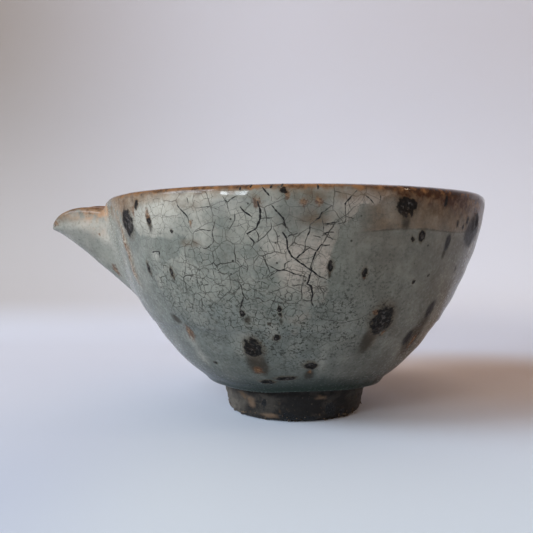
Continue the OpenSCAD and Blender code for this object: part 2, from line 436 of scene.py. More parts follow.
def buildGrid():
    g = glazeGrid
    a = columnAngles()
    rollT = g["rollT"] * (1 + sum(more * bell(wrap(a - at), wide) for more, at, wide in g["rollMore"]))
    top = crest(a) - f["lipH"]

    # rows are squeezed under the spout's lower lip
    def squeeze(z, full):
        low = g["squeezeFrom"]
        return np.minimum(np.where(z > low, low + (z - low) * (top - low) / (full - low), z), top)

    ring = np.stack([np.cos(np.radians(a)), np.sin(np.radians(a)), 0 * a], -1) * f["glazeEdgeR"]
    edgeR = f["glazeEdgeR"] + g["edgeOut"] + g["edgeWander"] * waves(ring, 26, 11)
    edgeU = np.interp(edgeR, clayLine[:, 0], steps)
    points = []
    for k in range(g["rollRows"]):
        # the glaze stops in a round roll on the clay
        t = k / g["rollRows"] * math.pi / 2
        u = edgeU + g["rollShare"] * (1 - math.cos(t))
        lift = (f["coat"] + rollT) * math.sin(t) - g["rollSink"]
        p = cubic(wall, u) + lift[:, None] * cubicSide(wall, u)
        points.append(around(p[:, 0], a, p[:, 1]))
    wallU = edgeU + g["rollShare"]
    for share in np.linspace(0, 1, g["wallRows"]) ** 1.05:
        u = wallU + (1 - wallU) * share
        roll = rollT * bell(cubic(wall, u)[:, 0] - edgeR - 0.6, g["rollWidth"])
        r, z = (cubic(wall, u) + (f["coat"] + roll)[:, None] * cubicSide(wall, u)).T
        low = squeeze(z, float(np.max(top)))
        points.append(around(np.where(z > g["squeezeFrom"], outerRadius(a, low), r), a, low))
    # inside wall, whose columns close up towards the channel
    inside = []
    for u in (1 - np.linspace(0, 1, g["insideRows"])) ** 0.95:
        z = squeeze(np.interp(u, steps, inLine[:, 1]), inLine[-1, 1])
        ai = a * (1 - g["inwardShare"] * fall(np.abs(a), 42, 27) * rise(z, 36, 22))
        r = np.where(z > g["squeezeFrom"], innerRadius(ai, z), np.interp(u, steps, inLine[:, 0]))
        inside.append(around(r, ai, z))
    lipStart = len(points)
    middle, half = (points[-1] + inside[0]) / 2, (points[-1] - inside[0]) / 2
    for k in range(1, g["lipRows"]):
        t = math.pi * k / g["lipRows"]
        points.append(middle + half * math.cos(t) + np.array([0, 0, f["lipH"] * math.sin(t)]))
    lipEnd = len(points)
    points += inside
    # the floor is a shallow dish
    floorR, floorZ = inLine[0]
    centre = f["floorZ"] + f["coatInside"]
    for k in range(1, g["floorRows"] + 1):
        part = 1 - k / g["floorRows"]
        points.append(around(floorR * part, a, centre + (floorZ - centre) * part ** 2))
    return np.array(points), a, lipStart, lipEnd


def gridNormals(p):
    n = np.cross(np.gradient(p, axis=0), np.roll(p, -1, 1) - np.roll(p, 1, 1))
    size = np.linalg.norm(n, axis=-1, keepdims=True)
    n = n / np.where(size > 1e-9, size, 1)
    n[-1] = (0, 0, 1)
    return n


# the grid before its relief; turns are degrees from the front, and the spout is at -90
bare, columns, lipStart, lipEnd = buildGrid()
bareNormals = gridNormals(bare)
rowCount, columnCount = bare.shape[:2]
crestRow = (lipStart + lipEnd) // 2
rowOf = np.arange(rowCount)[:, None]
outside = rowOf < crestRow
heights = bare[..., 2]
radii = np.hypot(bare[..., 0], bare[..., 1])
turnOf = np.degrees(np.arctan2(bare[..., 0], -bare[..., 1]))
turnOf[-1] = turnOf[-2]
runOf = np.zeros((rowCount, columnCount))
runOf[1:] = np.cumsum(np.linalg.norm(np.diff(bare, axis=0), axis=-1), 0)
rimRun = runOf - runOf[crestRow]
fromSpout = wrap(turnOf + 90)
print("grid:", rowCount, "x", columnCount, "crest row", crestRow)

# iron in the glaze: turn, height, half width, half height and lean of each spot, in mm and degrees
ironSpots = {
    "black": [
        (28.5, 62.3, 3.3, 2.7, 0), (-51.6, 60.1, 3.3, 4.2, 12), (-45.2, 63.9, 1.1, 1.2, 0),
        (-40.6, 60.0, 0.9, 1.2, 0), (-33.1, 56.8, 0.5, 0.6, 0), (-2.3, 66.4, 0.9, 0.7, 0),
        (34.7, 55.4, 1.05, 1.6, 0), (31.3, 54.7, 0.6, 0.8, -20), (41.7, 64.2, 0.8, 1.6, 0),
        (48.8, 58.9, 0.8, 1.0, 0), (53.9, 59.9, 0.8, 1.2, 0), (52.2, 58.2, 0.6, 0.7, 0),
        (61.3, 59.6, 2.6, 2.8, 0), (18.9, 46.4, 0.9, 1.5, -6), (9.3, 48.1, 0.85, 1.7, 0),
        (35.9, 43.5, 0.45, 0.7, -15), (42.0, 45.2, 0.45, 0.5, 0), (28.8, 33.0, 3.6, 5.2, -6),
        (-14.8, 25.2, 2.6, 3.9, 0), (-6.0, 28.3, 0.9, 1.2, 0), (-4.0, 36.5, 0.55, 0.8, 0),
        (-3.8, 34.9, 0.5, 0.7, 0), (-7.9, 32.8, 0.6, 0.5, 0), (6.5, 20.0, 1.8, 1.7, 0),
        (-4.0, 15.7, 2.9, 0.95, -4), (-13.5, 14.3, 2.3, 1.0, 0), (-15.9, 35.4, 0.7, 0.9, 0),
        (-47.1, 47.2, 0.8, 2.0, 8), (-36.6, 46.3, 0.8, 1.4, 5), (-36.0, 19.5, 0.8, 0.5, 30)],
    "blue": [
        (45.7, 53.5, 1.4, 2.8, 4), (60.5, 56.8, 7.0, 5.2, -4), (56.1, 46.2, 0.7, 1.4, 0),
        (51.0, 35.0, 2.2, 3.8, 0), (47.5, 26.5, 1.8, 3.6, -6)],
    "drip": [
        (26.6, 27.4, 2.5, 6.4, 2), (-16.4, 20.6, 2.6, 5.6, 0), (-12.8, 19.6, 1.8, 5.0, 0),
        (6.6, 16.8, 1.7, 3.0, 0), (-40.6, 59.0, 1.2, 2.9, 0), (52.0, 27.0, 4.2, 10.0, -4),
        (28.5, 58.6, 1.4, 2.6, 0), (-46.8, 44.8, 0.6, 1.6, 20), (-36.4, 44.6, 0.6, 1.4, 10),
        (9.3, 45.6, 0.6, 1.4, 0), (-3.9, 33.4, 0.6, 1.2, 0), (45.4, 50.6, 0.9, 2.0, 0),
        (-14.5, 33.6, 1.2, 1.6, 30), (-44.2, 32.4, 2.4, 1.6, 40), (18.9, 44.7, 0.6, 1.2, 0)],
    "rust": [
        (-82.8, 45.8, 1.4, 3.0, 24), (-81.2, 64.0, 1.9, 1.2, 10), (-78.4, 64.2, 1.5, 1.3, 0),
        (-80.4, 57.0, 0.6, 0.7, 0), (-86.5, 60.6, 2.2, 1.4, 0), (-57.0, 53.2, 0.6, 1.6, 8),
        (-57.6, 49.6, 0.7, 1.8, 6), (-58.6, 45.8, 0.6, 1.6, 8), (-47.0, 62.0, 0.9, 2.2, 10),
        (-40.6, 61.4, 1.0, 2.2, 0), (-8.6, 63.0, 1.3, 1.8, 0), (-26.9, 58.6, 0.7, 1.4, 0),
        (-41.2, 28.8, 1.8, 3.6, 8), (-15.6, 18.4, 1.7, 2.2, 0), (25.4, 35.4, 1.5, 1.2, 20),
        (2.2, 63.4, 1.4, 1.3, 0), (5.8, 63.2, 1.3, 1.5, 0), (-1.4, 65.4, 1.0, 1.6, 0),
        (31.4, 29.4, 0.8, 1.4, 0), (6.6, 18.0, 0.9, 1.0, 0), (18.9, 44.9, 0.6, 0.9, 0),
        (53.0, 25.0, 1.2, 4.0, -4)],
    "stain": [
        (-86.2, 62.3, 5.0, 1.7, 0), (-89.2, 60.6, 2.6, 1.8, 0), (-74.6, 63.0, 1.6, 3.0, 0),
        (4.0, 64.6, 5.0, 2.6, 0), (-8.4, 64.0, 2.4, 2.6, 0), (5.0, 59.5, 4.6, 3.0, 0),
        (13.5, 65.0, 6.0, 2.0, 0), (-26.9, 63.5, 8.0, 2.2, 0), (-51.0, 64.5, 6.0, 3.0, 0),
        (-64.0, 63.5, 2.6, 3.6, 0), (-58.0, 50.0, 1.6, 6.5, 8), (-27.5, 53.6, 4.0, 1.4, 0),
        (27.2, 27.6, 2.9, 5.6, 0), (-15.0, 19.6, 2.9, 4.4, 0), (51.0, 25.0, 3.2, 9.0, -4),
        (38.0, 60.5, 9.0, 3.0, 0)],
}
# white glaze by the turn and height of its outline, and the rest as soft blobs:
# amount, turn and height of the middle, and spread across and up
glazeField = {
    "patch": [
        (-52, 72), (-51, 61), (-46.4, 55.8), (-36, 55.0), (-28, 55.4), (-33, 50), (-46, 44), (-44, 34),
        (-25, 29), (-6, 27), (6, 31), (9.2, 38), (9.2, 49.5), (10.2, 53), (11.2, 56.8), (12.9, 59.2),
        (16.4, 62.2), (21.8, 64.4), (31, 66), (33, 72)],
    "patchBack": [
        (112, 72), (118, 58), (131, 52), (139, 41), (158, 36), (171, 44), (178, 40), (190, 47), (196, 58),
        (214, 62), (222, 72)],
    "milk": [
        (0.66, -41, 62, 13, 6.5), (0.5, -30, 64, 9, 4), (0.46, 2, 48, 8.5, 8), (0.34, -12, 58, 9, 8),
        (0.22, -22, 43, 8, 4), (0.55, 15.5, 64, 5.5, 3.2), (0.4, 8.4, 57, 1.8, 4.5), (0.22, -24, 54, 3, 4),
        (0.35, 160, 55, 20, 12), (0.4, -21, 65.4, 7, 2.2), (-0.36, -17.5, 52, 4, 7), (-0.62, 2, 60.5, 6, 4.5),
        (-0.35, -17.4, 60.7, 3, 2.5), (-0.3, -12.7, 63.5, 3, 1.8), (-0.3, -9, 51.8, 2.2, 2.2),
        (-0.3, 185, 55, 6, 9), (-0.2, -6, 44, 4, 4)],
    # pale glaze, partly painted highlights: on top of the spout and in a pit beside a crack
    "pale": [
        (0.38, -80, 56, 9, 12), (0.3, -80.5, 61, 5, 3.5), (0.4, -100, 56, 9, 12), (0.25, -62, 56, 6, 9),
        (0.7, -41.4, 50.4, 1.6, 1.1), (0.9, -80.7, 60.0, 2.0, 1.8), (0.8, -79.4, 56.6, 1.5, 2.4),
        (0.3, 11.0, 22, 1.8, 7)],
    "thin": [(0.75, 2, 60, 6, 4.5), (0.45, -17.5, 52, 3.5, 6)],
    "thinBack": [(0.75, -150, 50, 26, 30)],
    "rimWide": [
        (2.4, -48, 66, 16, 30), (2.2, -56, 66, 8, 30), (1.6, -84, 66, 14, 30), (1.6, 48, 64, 14, 30),
        (3.0, 66, 66, 14, 30), (1.2, 150, 66, 20, 30)],
    "crackBig": [(0.44, 165, 54, 34, 20), (-0.4, -42, 61, 12, 6)],
    "crackFine": [(0.8, -18, 40, 22, 8), (0.9, -4, 29, 30, 9), (0.7, -34, 40, 14, 9), (0.8, 165, 36, 30, 14)],
    "peach": [
        (0.9, -82.6, 65.4, 3.0, 1.5), (1.2, -79.6, 63.4, 3.6, 2.0), (0.8, -77, 64.9, 2.6, 1.8),
        (0.5, -97, 65.0, 5, 1.8), (0.45, -58, 64, 4, 4), (0.35, -80, 58.4, 2, 2)],
    "specks": [(1.0, -2, 30, 36, 14), (0.3, 20, 46, 14, 16), (0.5, -36, 42, 12, 10), (0.8, 172, 30, 40, 14)],
    # stretches of the turn: start and its run, end and its run
    "redSide": (14, 22, 118, 40), "thinSide": (4, 22, 100, 30), "dipSide": (15, 7, 112, 40),
}


def blobs(name):
    return sum(amount * bell(wrap(turnOf - turn), wide) * bell(heights - z, high)
               for amount, turn, z, wide, high in glazeField[name])


def stretch(name):
    start, startRun, end, endRun = glazeField[name]
    return rise(turnOf, start, startRun) * fall(turnOf, end, endRun)


# signed distance in mm to a closed outline, positive inside
def outlineDistance(name, middle):
    x, y = wrap(turnOf - middle) * perTurn, heights
    inside = np.zeros(x.shape, bool)
    best = np.full(x.shape, np.inf)
    ends = [(wrap(turn - middle) * perTurn, z) for turn, z in glazeField[name]]
    for (ax, ay), (bx, by) in zip(ends, ends[1:] + ends[:1]):
        dx, dy = bx - ax, by - ay
        share = np.clip(((x - ax) * dx + (y - ay) * dy) / (dx * dx + dy * dy), 0, 1)
        best = np.minimum(best, np.hypot(x - ax - share * dx, y - ay - share * dy))
        if dy:
            inside ^= ((ay > y) != (by > y)) & (x < dx * (y - ay) / dy + ax)
    return np.where(inside, best, -best)


# how far out of a leaning ellipse the grid's points lie, 1 on its outline
def spotDistance(turn, z, w, h, lean):
    c, s = math.cos(math.radians(lean)), math.sin(math.radians(lean))
    x = np.radians(wrap(turnOf - turn)) * radii
    y = (heights - z) / np.sqrt(np.clip(1 - bareNormals[..., 2] ** 2, 0.16, 1))
    return np.hypot((c * x - s * y) / w, (s * x + c * y) / h)


def softSpots(kind):
    return np.clip(np.min([spotDistance(*spot) for spot in ironSpots[kind]], 0), 0, 3)


# relief in mm along the normals
reliefSizes = {
    "throwing": 0.07, "throwPitch": 7.3, "swell": 0.10, "pits": 0.025, "sink": 0.12, "whiteStep": 0.16,
    "inside": 0.5, "rim": 0.25, "rimRun": 5.0, "ridge": 0.42, "crease": 0.2, "joinTurn": 32.2,
    "spotRing": 0.26, "spotHollow": 0.18, "spotLeast": 1.0, "lowest": -0.42, "highest": 0.4,
    "tip": 0.42, "tipWidth": 3.4, "spare": 0.06, "spoutTurn": 22,
    "lipRound": 0.38, "lipWorn": 0.27, "rimLift": 0.22,
}


# clay worked over the join of the spout leaves a low broken ridge, with a crease beside it
def spoutJoin():
    ridge, crease = np.zeros(heights.shape), np.zeros(heights.shape)
    broken = np.clip(0.7 + 0.5 * waves(bare, 5, 63), 0, 1.3)
    for side in (-1, 1):
        away = (turnOf + 90 - side * (reliefSizes["joinTurn"] + 0.5 * np.sin(heights / 4))) * perTurn
        ridge += bell(away, 1.6) * rise(heights, 40, 5) * fall(heights, 62, 6) * broken
        crease += bell(away + side * 1.9, 0.9) * rise(heights, 42, 5) * fall(heights, 66, 5)
    return np.where(outside, ridge, 0), np.where(outside, crease, 0)


# where the glaze is white, thin, cracked, stained or shiny, for the materials
def glazeMasks():
    white = np.maximum(outlineDistance("patch", -10), outlineDistance("patchBack", 165))
    white += 0.5 * waves(bare, 5, 21)
    redSide = stretch("redSide")
    thin = np.maximum(stretch("thinSide"), blobs("thinBack"))
    streak = 0.4 * bell(turnOf + 42.4, 2.6) * fall(heights, 28.5, 3) * rise(heights, 15, 4)
    # dull along the spout's edge and on the rim beside it
    shiny = 1 - 0.9 * fall(turnOf, -17.5, 5) * rise(turnOf, -130, 10)
    ridge, crease = spoutJoin()
    found = {
        "white": white, "redSide": redSide, "ridge": ridge, "crease": crease,
        "rimRun": rimRun, "fromEdge": runOf,
        "milk": 0.16 * rise(heights, 36, 14) + blobs("milk") + 0.13 * waves(bare, 8, 22),
        "pale": blobs("pale") + streak + 0.12 * waves(bare, 7, 23),
        "thin": thin + 0.18 * waves(bare, 24, 31) + blobs("thin"),
        "lowGrey": fall(heights, 46, 18) + 0.2 * waves(bare, 18, 41),
        "rimWide": 3.4 + blobs("rimWide") + 3.4 * redSide + 0.5 * waves(bare, 16, 51),
        # a second dip stopped short of the rim on the right: mm above its line, and where it shows
        "dip": heights - 56.5 + 0.5 * np.sin(np.radians(turnOf) * 9) - 0.02 * wrap(turnOf - 30),
        "dipIn": stretch("dipSide"),
        "crackBig": rise(white, -2.0, 4.0) * rise(heights, 33, 9) * (0.66 + blobs("crackBig")),
        "crackFine": 0.35 * rise(white, -9, 12) * rise(heights, 28, 14) + blobs("crackFine"),
        # pale iron blush along the spout's edge and where it joins the rim
        "peach": blobs("peach"),
        "specks": blobs("specks"),
        "lipGloss": (0.85 - 0.45 * redSide) * shiny,
        "gloss": 0.14 * rise(heights, 18, 37) + 0.6 * rise(heights, 59, 4) * (1 - redSide) * shiny,
        "far": fall(np.abs(wrap(turnOf - 165)), 92, 8),
    }
    for name in ("milk", "pale", "thin", "lowGrey", "crackFine", "peach", "specks"):
        found[name] = np.clip(found[name], 0, 1)
    found["crackBig"] = np.clip(found["crackBig"], 0, 1.1)
    for name in ("stain", "drip", "blue"):
        found[name] = softSpots(name)
    return found


def reliefMap():
    s = reliefSizes
    rings = np.sin(2 * math.pi * (heights / s["throwPitch"] + turnOf / 360))
    rings *= 0.6 + 0.4 * waves(bare, 30, 61)
    relief = s["throwing"] * rings + s["swell"] * waves(bare, 22, 62)
    relief += s["pits"] * waves(bare, 6, 64) - s["sink"]
    relief += s["whiteStep"] * rise(masks["white"], -0.6, 1.8)
    relief *= np.where(outside, 1, s["inside"])
    relief *= s["rim"] + (1 - s["rim"]) * ease(np.abs(rimRun) / s["rimRun"])
    relief[-4:] *= np.linspace(0.6, 0, 4)[:, None]
    relief += s["ridge"] * masks["ridge"] - s["crease"] * masks["crease"]
    for spot in ironSpots["black"]:
        if spot[2] > s["spotLeast"]:
            d = spotDistance(*spot)
            relief += outside * (s["spotRing"] * bell(d - 0.75, 0.28) - s["spotHollow"] * bell(d, 0.45))
    relief = np.clip(relief, s["lowest"], s["highest"])
    relief += s["tip"] * bell(fromSpout, s["tipWidth"]) * bell(rowOf - lipStart - 1.3, 1.1)
    # the bowl's side stays inside its rim
    room = np.maximum(f["rimD"] / 2 - s["spare"] - radii, -0.3)
    return np.where(np.abs(fromSpout) > s["spoutTurn"], np.minimum(relief, room), relief)


# the lip is rounded in, more where it is worn at the front, and lifts a little on the right
def roundLip(points):
    s = reliefSizes
    worn = bell(wrap(turnOf + 13), 12) * rise(rimRun, -4.3, 2.7) * fall(rimRun, 4, 3)
    worn *= rise(np.abs(fromSpout), 15, 6)
    inwards = s["lipRound"] * bell(rimRun, 1.7) + s["lipWorn"] * worn
    points[..., :2] *= (1 - inwards / np.maximum(np.hypot(points[..., 0], points[..., 1]), 1))[..., None]
    points[..., 2] += s["rimLift"] * bell(wrap(turnOf - 64), 15) * bell(rimRun, 3)
    return points


masks = glazeMasks()
relief = reliefMap()
grid = roundLip(bare + relief[..., None] * bareNormals)
normals = gridNormals(grid)
print("glaze relief:", round(float(relief.min()), 2), "to", round(float(relief.max()), 2), "mm")


# faces of a closed shell of rows: front, back, and the rims or poles between them
def shellFaces(count, poleLast):
    m = columnCount
    size, last = count * m, (count - 1) * m
    i, j = np.meshgrid(np.arange(count - 1), np.arange(m), indexing="ij")
    q = (j + 1) % m
    front = np.stack([i * m + j, (i + 1) * m + j, (i + 1) * m + q, i * m + q], -1).reshape(-1, 4)
    j = np.arange(m)
    q = (j + 1) % m
    faces = [front, front[:, ::-1] + size, np.stack([j, q, size + q, size + j], -1)]
    triangles = []
    if poleLast:
        triangles = np.stack([last + j, 0 * j + 2 * size, last + q], -1).tolist()
        triangles += np.stack([size + last + q, 0 * j + 2 * size + 1, size + last + j], -1).tolist()
    else:
        faces.append(np.stack([last + q, last + j, size + last + j, size + last + q], -1))
    return np.vstack(faces).tolist() + triangles


# the surface rolled out flat for the crackle, and cut at a turn that has no crackle
def rollOut(mesh, spread):
    flatTurn = np.tile((columns - 175) % 360, (rowCount, 1))
    flatTurn[-1] = 180
    corner = np.zeros(len(mesh.loops), np.int32)
    mesh.loops.foreach_get("vertex_index", corner)
    starts = np.zeros(len(mesh.polygons), np.int32)
    mesh.polygons.foreach_get("loop_start", starts)
    owner = np.repeat(np.arange(len(starts)), np.diff(np.append(starts, len(corner))))
    u = spread(flatTurn)[corner]
    widest = np.full(len(starts), -1.0)
    np.maximum.at(widest, owner, u)
    u = np.where(widest[owner] - u > 180, u + 360, u)
    flat = np.stack([u * perTurn, spread(runOf)[corner], 0 * u], -1) * mm
    unrolled = mesh.attributes.new("unrolled", "FLOAT_VECTOR", "CORNER")
    unrolled.data.foreach_set("vector", tight(flat.reshape(-1)))


# rows of the grid as a coat of glaze with a back, which keeps the masks that its material asks for
def coatPiece(name, rows, poleLast, labels):
    depth = glazeGrid["depth"]
    points, out = grid[rows], normals[rows]
    count = len(points) - poleLast

    # a value of the grid for the face, the back and the poles
    def spread(values):
        face = values[rows][:count].reshape(-1)
        return np.concatenate([face, face] + [values[rows][-1, :1]] * (2 * poleLast))

    body, bodyOut = points[:count].reshape(-1, 3), out[:count].reshape(-1, 3)
    verts, vertNormals = [body, body - depth * bodyOut], [bodyOut, -bodyOut]
    if poleLast:
        pole = points[-1, :1]
        verts += [pole, pole - np.array([[0, 0, depth]])]
        vertNormals += [np.array([[0, 0, 1.0], [0, 0, -1.0]])]
    mesh = bpy.data.meshes.new(name)
    mesh.from_pydata((np.vstack(verts) * mm).tolist(), [], shellFaces(count, poleLast))
    mesh.update()
    piece = newPiece(name, mesh)
    rollOut(mesh, spread)
    for label in labels:
        given = mesh.attributes.new(label, "FLOAT", "POINT")
        given.data.foreach_set("value", tight(spread(masks[label])))
    mesh.normals_split_custom_set_from_vertices(np.vstack(vertNormals).tolist())
    return piece


outerGlaze = coatPiece("outer_glaze_coat", slice(0, lipEnd + 4), 0, masks)
innerGlaze = coatPiece("inner_glaze_coat", slice(lipEnd + 3, rowCount), 1, ("rimRun", "rimWide", "redSide"))
print("glaze coats:", len(outerGlaze.data.polygons), "and", len(innerGlaze.data.polygons), "faces")


# a place on the outside by turn and height: point, and axes across, up and out
def placeOutside(turn, z):
    column = int(np.argmin(np.abs(wrap(turnOf[lipStart - 20] - turn))))
    row = int(np.argmin(np.abs(grid[:lipStart, column, 2] - z)))
    out = Vector(normals[row, column])
    across = Vector((math.cos(math.radians(turn)), math.sin(math.radians(turn)), 0))
    up = out.cross(across).normalized()
    across = up.cross(out).normalized()
    if up.z < 0:
        up, across = -up, -across
    return Vector(grid[row, column]), across, up, out


# nearest of a set of leaning ellipses, 1 on their outline
def spotField(desk, where, spots, place):
    field = None
    for turn, z, w, h, lean in spots:
        point, across, up, out = place(turn, z)
        turned = Matrix((across, up, out)).transposed() @ Matrix.Rotation(math.radians(-lean), 3, "Z")
        found = desk.away(where, tuple(point * mm), (w * mm, h * mm, 6 * mm), tuple(turned.to_euler()))
        field = found if field is None else field.low(found)
    return field


# spots of a pattern, for where none are listed, 1 on their outline
def thrownSpots(desk, where):
    away, chance = desk.scatter(where, glazePitch["thrown"])
    size = chance.ramp(0.5, 1.0) ** 2 * 0.22 + 0.05
    return away / size + chance.ramp(0.52, 0.5) * 9


# colours of the glazes, as screen levels of 0 to 255
glazeTones = {
    # glass
    "celadon": (126, 129, 119), "lowGrey": (108, 113, 108), "thin": (107, 102, 92), "white": (184, 179, 164),
    "blush": (188, 174, 159), "pale": (190, 185, 171), "cloud": (142, 145, 134), "patch": (82, 82, 72),
    "streak": (78, 77, 68), "fleck": (160, 160, 149), "grain": (66, 66, 57), "lowPoolAndShade": (54, 57, 50),
    "pool": (28, 40, 32), "bead": (96, 108, 98), "dipPale": (124, 103, 82), "dipDark": (86, 74, 60),
    "dipLine": (70, 58, 44), "insidePale": (166, 164, 150), "insidePatch": (92, 92, 82), "well": (74, 84, 74),
    # cracks and specks
    "crack": (40, 37, 32), "crackPale": (74, 71, 63), "specks": (48, 47, 41),
    # iron
    "rust": (150, 110, 70), "rustDark": (84, 55, 37), "lip": (140, 98, 60), "lipBurnt": (52, 29, 18),
    "rim": (130, 102, 74), "rimDark": (66, 41, 27), "iron": (13, 12, 11), "ironBrown": (46, 38, 32),
    "paintedIronGlint": (112, 106, 102), "ironBlue": (34, 33, 36), "halo": (84, 72, 57), "drip": (50, 44, 35),
    "stain": (98, 80, 60), "peach": (188, 151, 118), "crease": (92, 82, 68), "crust": (112, 88, 66),
    "crustPale": (184, 172, 152),
}
tones = {name: tone(*levels) for name, levels in glazeTones.items()}
# how far each layer covers what is under it
glazeStrengths = {
    "cloud": 0.34, "patch": 0.42, "streak": 0.34, "dip": 0.75, "dipLine": 0.55, "fleck": 0.1, "grain": 0.34,
    "lowPoolAndShade": 0.6, "crack": 0.85, "pinhole": 0.85, "pool": 0.94, "bead": 0.32, "stain": 0.74, "drip": 0.85,
    "halo": 0.6, "crease": 0.7, "crust": 0.85, "rust": 0.72, "lip": 0.93, "paintedIronGlint": 0.5,
    "insidePatch": 0.35, "insideGrain": 0.24, "insideCrack": 0.75, "insideHalo": 0.5, "well": 0.7,
    "spot": 0.95,
}
# patterns of the glaze: size in mm, detail and roughness
glazePatterns = {"cloud": (9, 4), "patchy": (3.4, 5, 0.62), "grain": (0.9, 4, 0.65), "insideCloud": (12, 4)}
# mesh of the crackle's nets, and pitch of pinholes and thrown spots, in mm
glazePitch = {"net": 4.6, "fineNet": 2.1, "insideNet": 4.2, "pinhole": 3.6, "thrown": 9.5}


def glazePattern(desk, base, *names):
    return [desk.noise(base, *glazePatterns[name]) for name in names]


# a layer for Desk.lay, in the tone of its name unless another is given
def layer(name, mask, colour=None):
    return mask * glazeStrengths[name], colour or tones[name]


# iron burnt through the thin glaze of the lip, laid over a colour; gives back the mask of the lip too
def lipRust(desk, base, colour):
    red = desk.attr("redSide")
    away = desk.attr("rimRun").on("ABSOLUTE")
    mottle = desk.noise(base, 3.0, 4)
    under = ((away + desk.noise(base, 2.6, 4).swing(4.4)) / desk.attr("rimWide")).ramp(1.2, 0.45)
    brown = desk.mix((mottle * 4.0 - 1.8 + red * 0.7).clip(), tones["rim"], tones["rimDark"])
    lip = (away + mottle.swing(3.2) - red * 0.9).ramp(3.0, 1.8)
    scorch = (desk.noise(base, 2.0, 4) * 4.4 - 2.0 + red * 0.7).clip()
    burnt = desk.mix(scorch, tones["lip"], tones["lipBurnt"])
    under = (under * (0.7 + 0.4 * red) * (0.5 + mottle)).clip()
    return desk.lay(colour, (under, brown), layer("lip", lip, burnt)), lip


# the glass, and the dip that stopped short of the rim and left thin brown glaze above a darker line
def glassColour(desk, base, cloud, patchy, grain, streak):
    dip = desk.attr("dip") + grain.swing(0.7)
    dipIn = desk.attr("dipIn")
    dipLine = dip.on("ABSOLUTE").ramp(0.38, 0.05) * dipIn * patchy.ramp(0.3, 0.5)
    brown = desk.mix(patchy.sharp(3, 1.1), tones["dipPale"], tones["dipDark"])
    whiteIn = (desk.attr("white") + grain.swing(1.2)).ramp(-0.35, 0.5)
    milk = (desk.attr("milk") + patchy.swing(0.9)).clip()
    white = desk.mix(desk.part(base, 0).ramp(-12 * mm, 2 * mm), tones["white"], tones["blush"])
    return desk.lay(
        desk.mix(desk.attr("lowGrey"), tones["celadon"], tones["lowGrey"]),
        (desk.attr("thin"), tones["thin"]),
        layer("cloud", cloud.sharp(2.4, 0.8)),
        layer("patch", patchy.sharp(3, 1.2)),
        layer("streak", streak.sharp(2.6, 1.0)),
        layer("dip", dip.ramp(-0.2, 0.5) * dipIn, brown),
        layer("dipLine", dipLine),
        (whiteIn * milk, white),
        # pale glaze, with painted highlights on top of the spout and in a pit
        (desk.attr("pale") * (0.3 + 1.1 * patchy).clip(), tones["pale"]),
        layer("fleck", desk.noise(base, 2.2, 2).sharp(5, 2.5)),
        layer("grain", grain.sharp(-5, -2.5)),
        # darker towards the bottom: glass pooled thicker there, and painted shade where the belly turns down
        # to the table
        layer("lowPoolAndShade", desk.part(base, 2).ramp(27 * mm, 9 * mm)),
    )


# a net of dark lines in the white, a finer dotted one and specks lower down, and a few pinholes
def crackleColour(desk, base, colour):
    flat = desk.attr("unrolled", 1)
    fade = desk.noise(base, 6.5, 2)
    netWidth = (0.17 + 0.5 * (fade - 0.4).high(0.0)) * desk.attr("crackBig")
    net = desk.net(desk.shaken(flat, 2.6, 0.7), glazePitch["net"], netWidth, 0.35)
    net = net * (0.58 + 1.6 * (fade - 0.4)).clip()
    fineWidth = (0.07 + 0.2 * desk.noise(base, 0.8, 2)) * desk.attr("crackFine")
    fine = desk.net(desk.shaken(flat, 1.3, 0.4), glazePitch["fineNet"], fineWidth, 0.4)
    fine = fine * desk.noise(base, 1.0, 2).ramp(0.34, 0.50) * desk.noise(base, 5, 3).ramp(0.37, 0.54)
    dots = (desk.noise(base, 0.75, 3) - 0.5).ramp(0.03, 0.1) * desk.noise(base, 4, 3).ramp(0.38, 0.55)
    hole, chance = desk.scatter(base, glazePitch["pinhole"])
    colour = desk.lay(
        colour,
        ((fine * 0.8).high(dots * desk.attr("specks") * 0.9), tones["specks"]),
        layer("crack", net, desk.mix(fade.ramp(0.5, 0.68), tones["crackPale"], tones["crack"])),
        layer("pinhole", hole.ramp(0.12, 0.05) * chance.ramp(0.5, 0.56), tones["crack"]),
    )
    return colour, net


# glassy pool and pale bead at the glaze's edge, then drips, stains and rust round the iron and the spout
def stainColour(desk, colour, black, rust, cloud, patchy, grain, streak):
    edge = desk.attr("fromEdge")
    rustIn = (rust + grain.swing(2.4)).ramp(1.1, 0.35)
    crusty = desk.attr("ridge") * patchy.sharp(3, 0.9)
    crust = desk.mix(grain.sharp(5, 2.2), tones["crust"], tones["crustPale"])
    return desk.lay(
        colour,
        layer("pool", (edge + cloud.swing(6)).ramp(12.0, 3.0)),
        layer("bead", (edge + cloud.swing(1.5)).ramp(2.4, 1.4)),
        layer("stain", desk.attr("stain").ramp(1.2, 0.2) * patchy.sharp(3, 0.9)),
        layer("drip", (desk.attr("drip") + streak.swing(0.6)).ramp(1.25, 0.4)),
        layer("halo", black.ramp(1.6, 0.85)),
        # darker along the crease beside the spout's join
        layer("crease", desk.attr("crease") * (0.2 + patchy).clip()),
        layer("crust", (crusty * 2.2).clip(), crust),
        layer("rust", rustIn, desk.mix(grain.sharp(5, 2.2), tones["rustDark"], tones["rust"])),
        (desk.attr("peach") * patchy.sharp(5, 1.8), tones["peach"]),
    )


# the iron's colour, with painted glints in the big spots, and where it comes through the glass
def ironColour(desk, base, black, patchy, grain):
    blackIn = (black + desk.noise(base, 1.5, 3).swing(1.3) + grain.swing(0.5)).ramp(1.06, 0.76)
    darkIn = (desk.attr("blue") + patchy.swing(0.9)).ramp(1.15, 0.6)
    iron = desk.lay(
        desk.mix(desk.noise(base, 1.1, 4).sharp(5, 2.5), tones["iron"], tones["ironBrown"]),
        # pale specks inside the big spots: painted glints of their glassy pits
        layer("paintedIronGlint", black.ramp(0.8, 0.35) * desk.noise(base, 1.0, 3).sharp(7, 3.6)),
        (darkIn * (1 - blackIn), tones["ironBlue"]),
    )
    return iron, blackIn.high(darkIn * 0.92) * 0.96


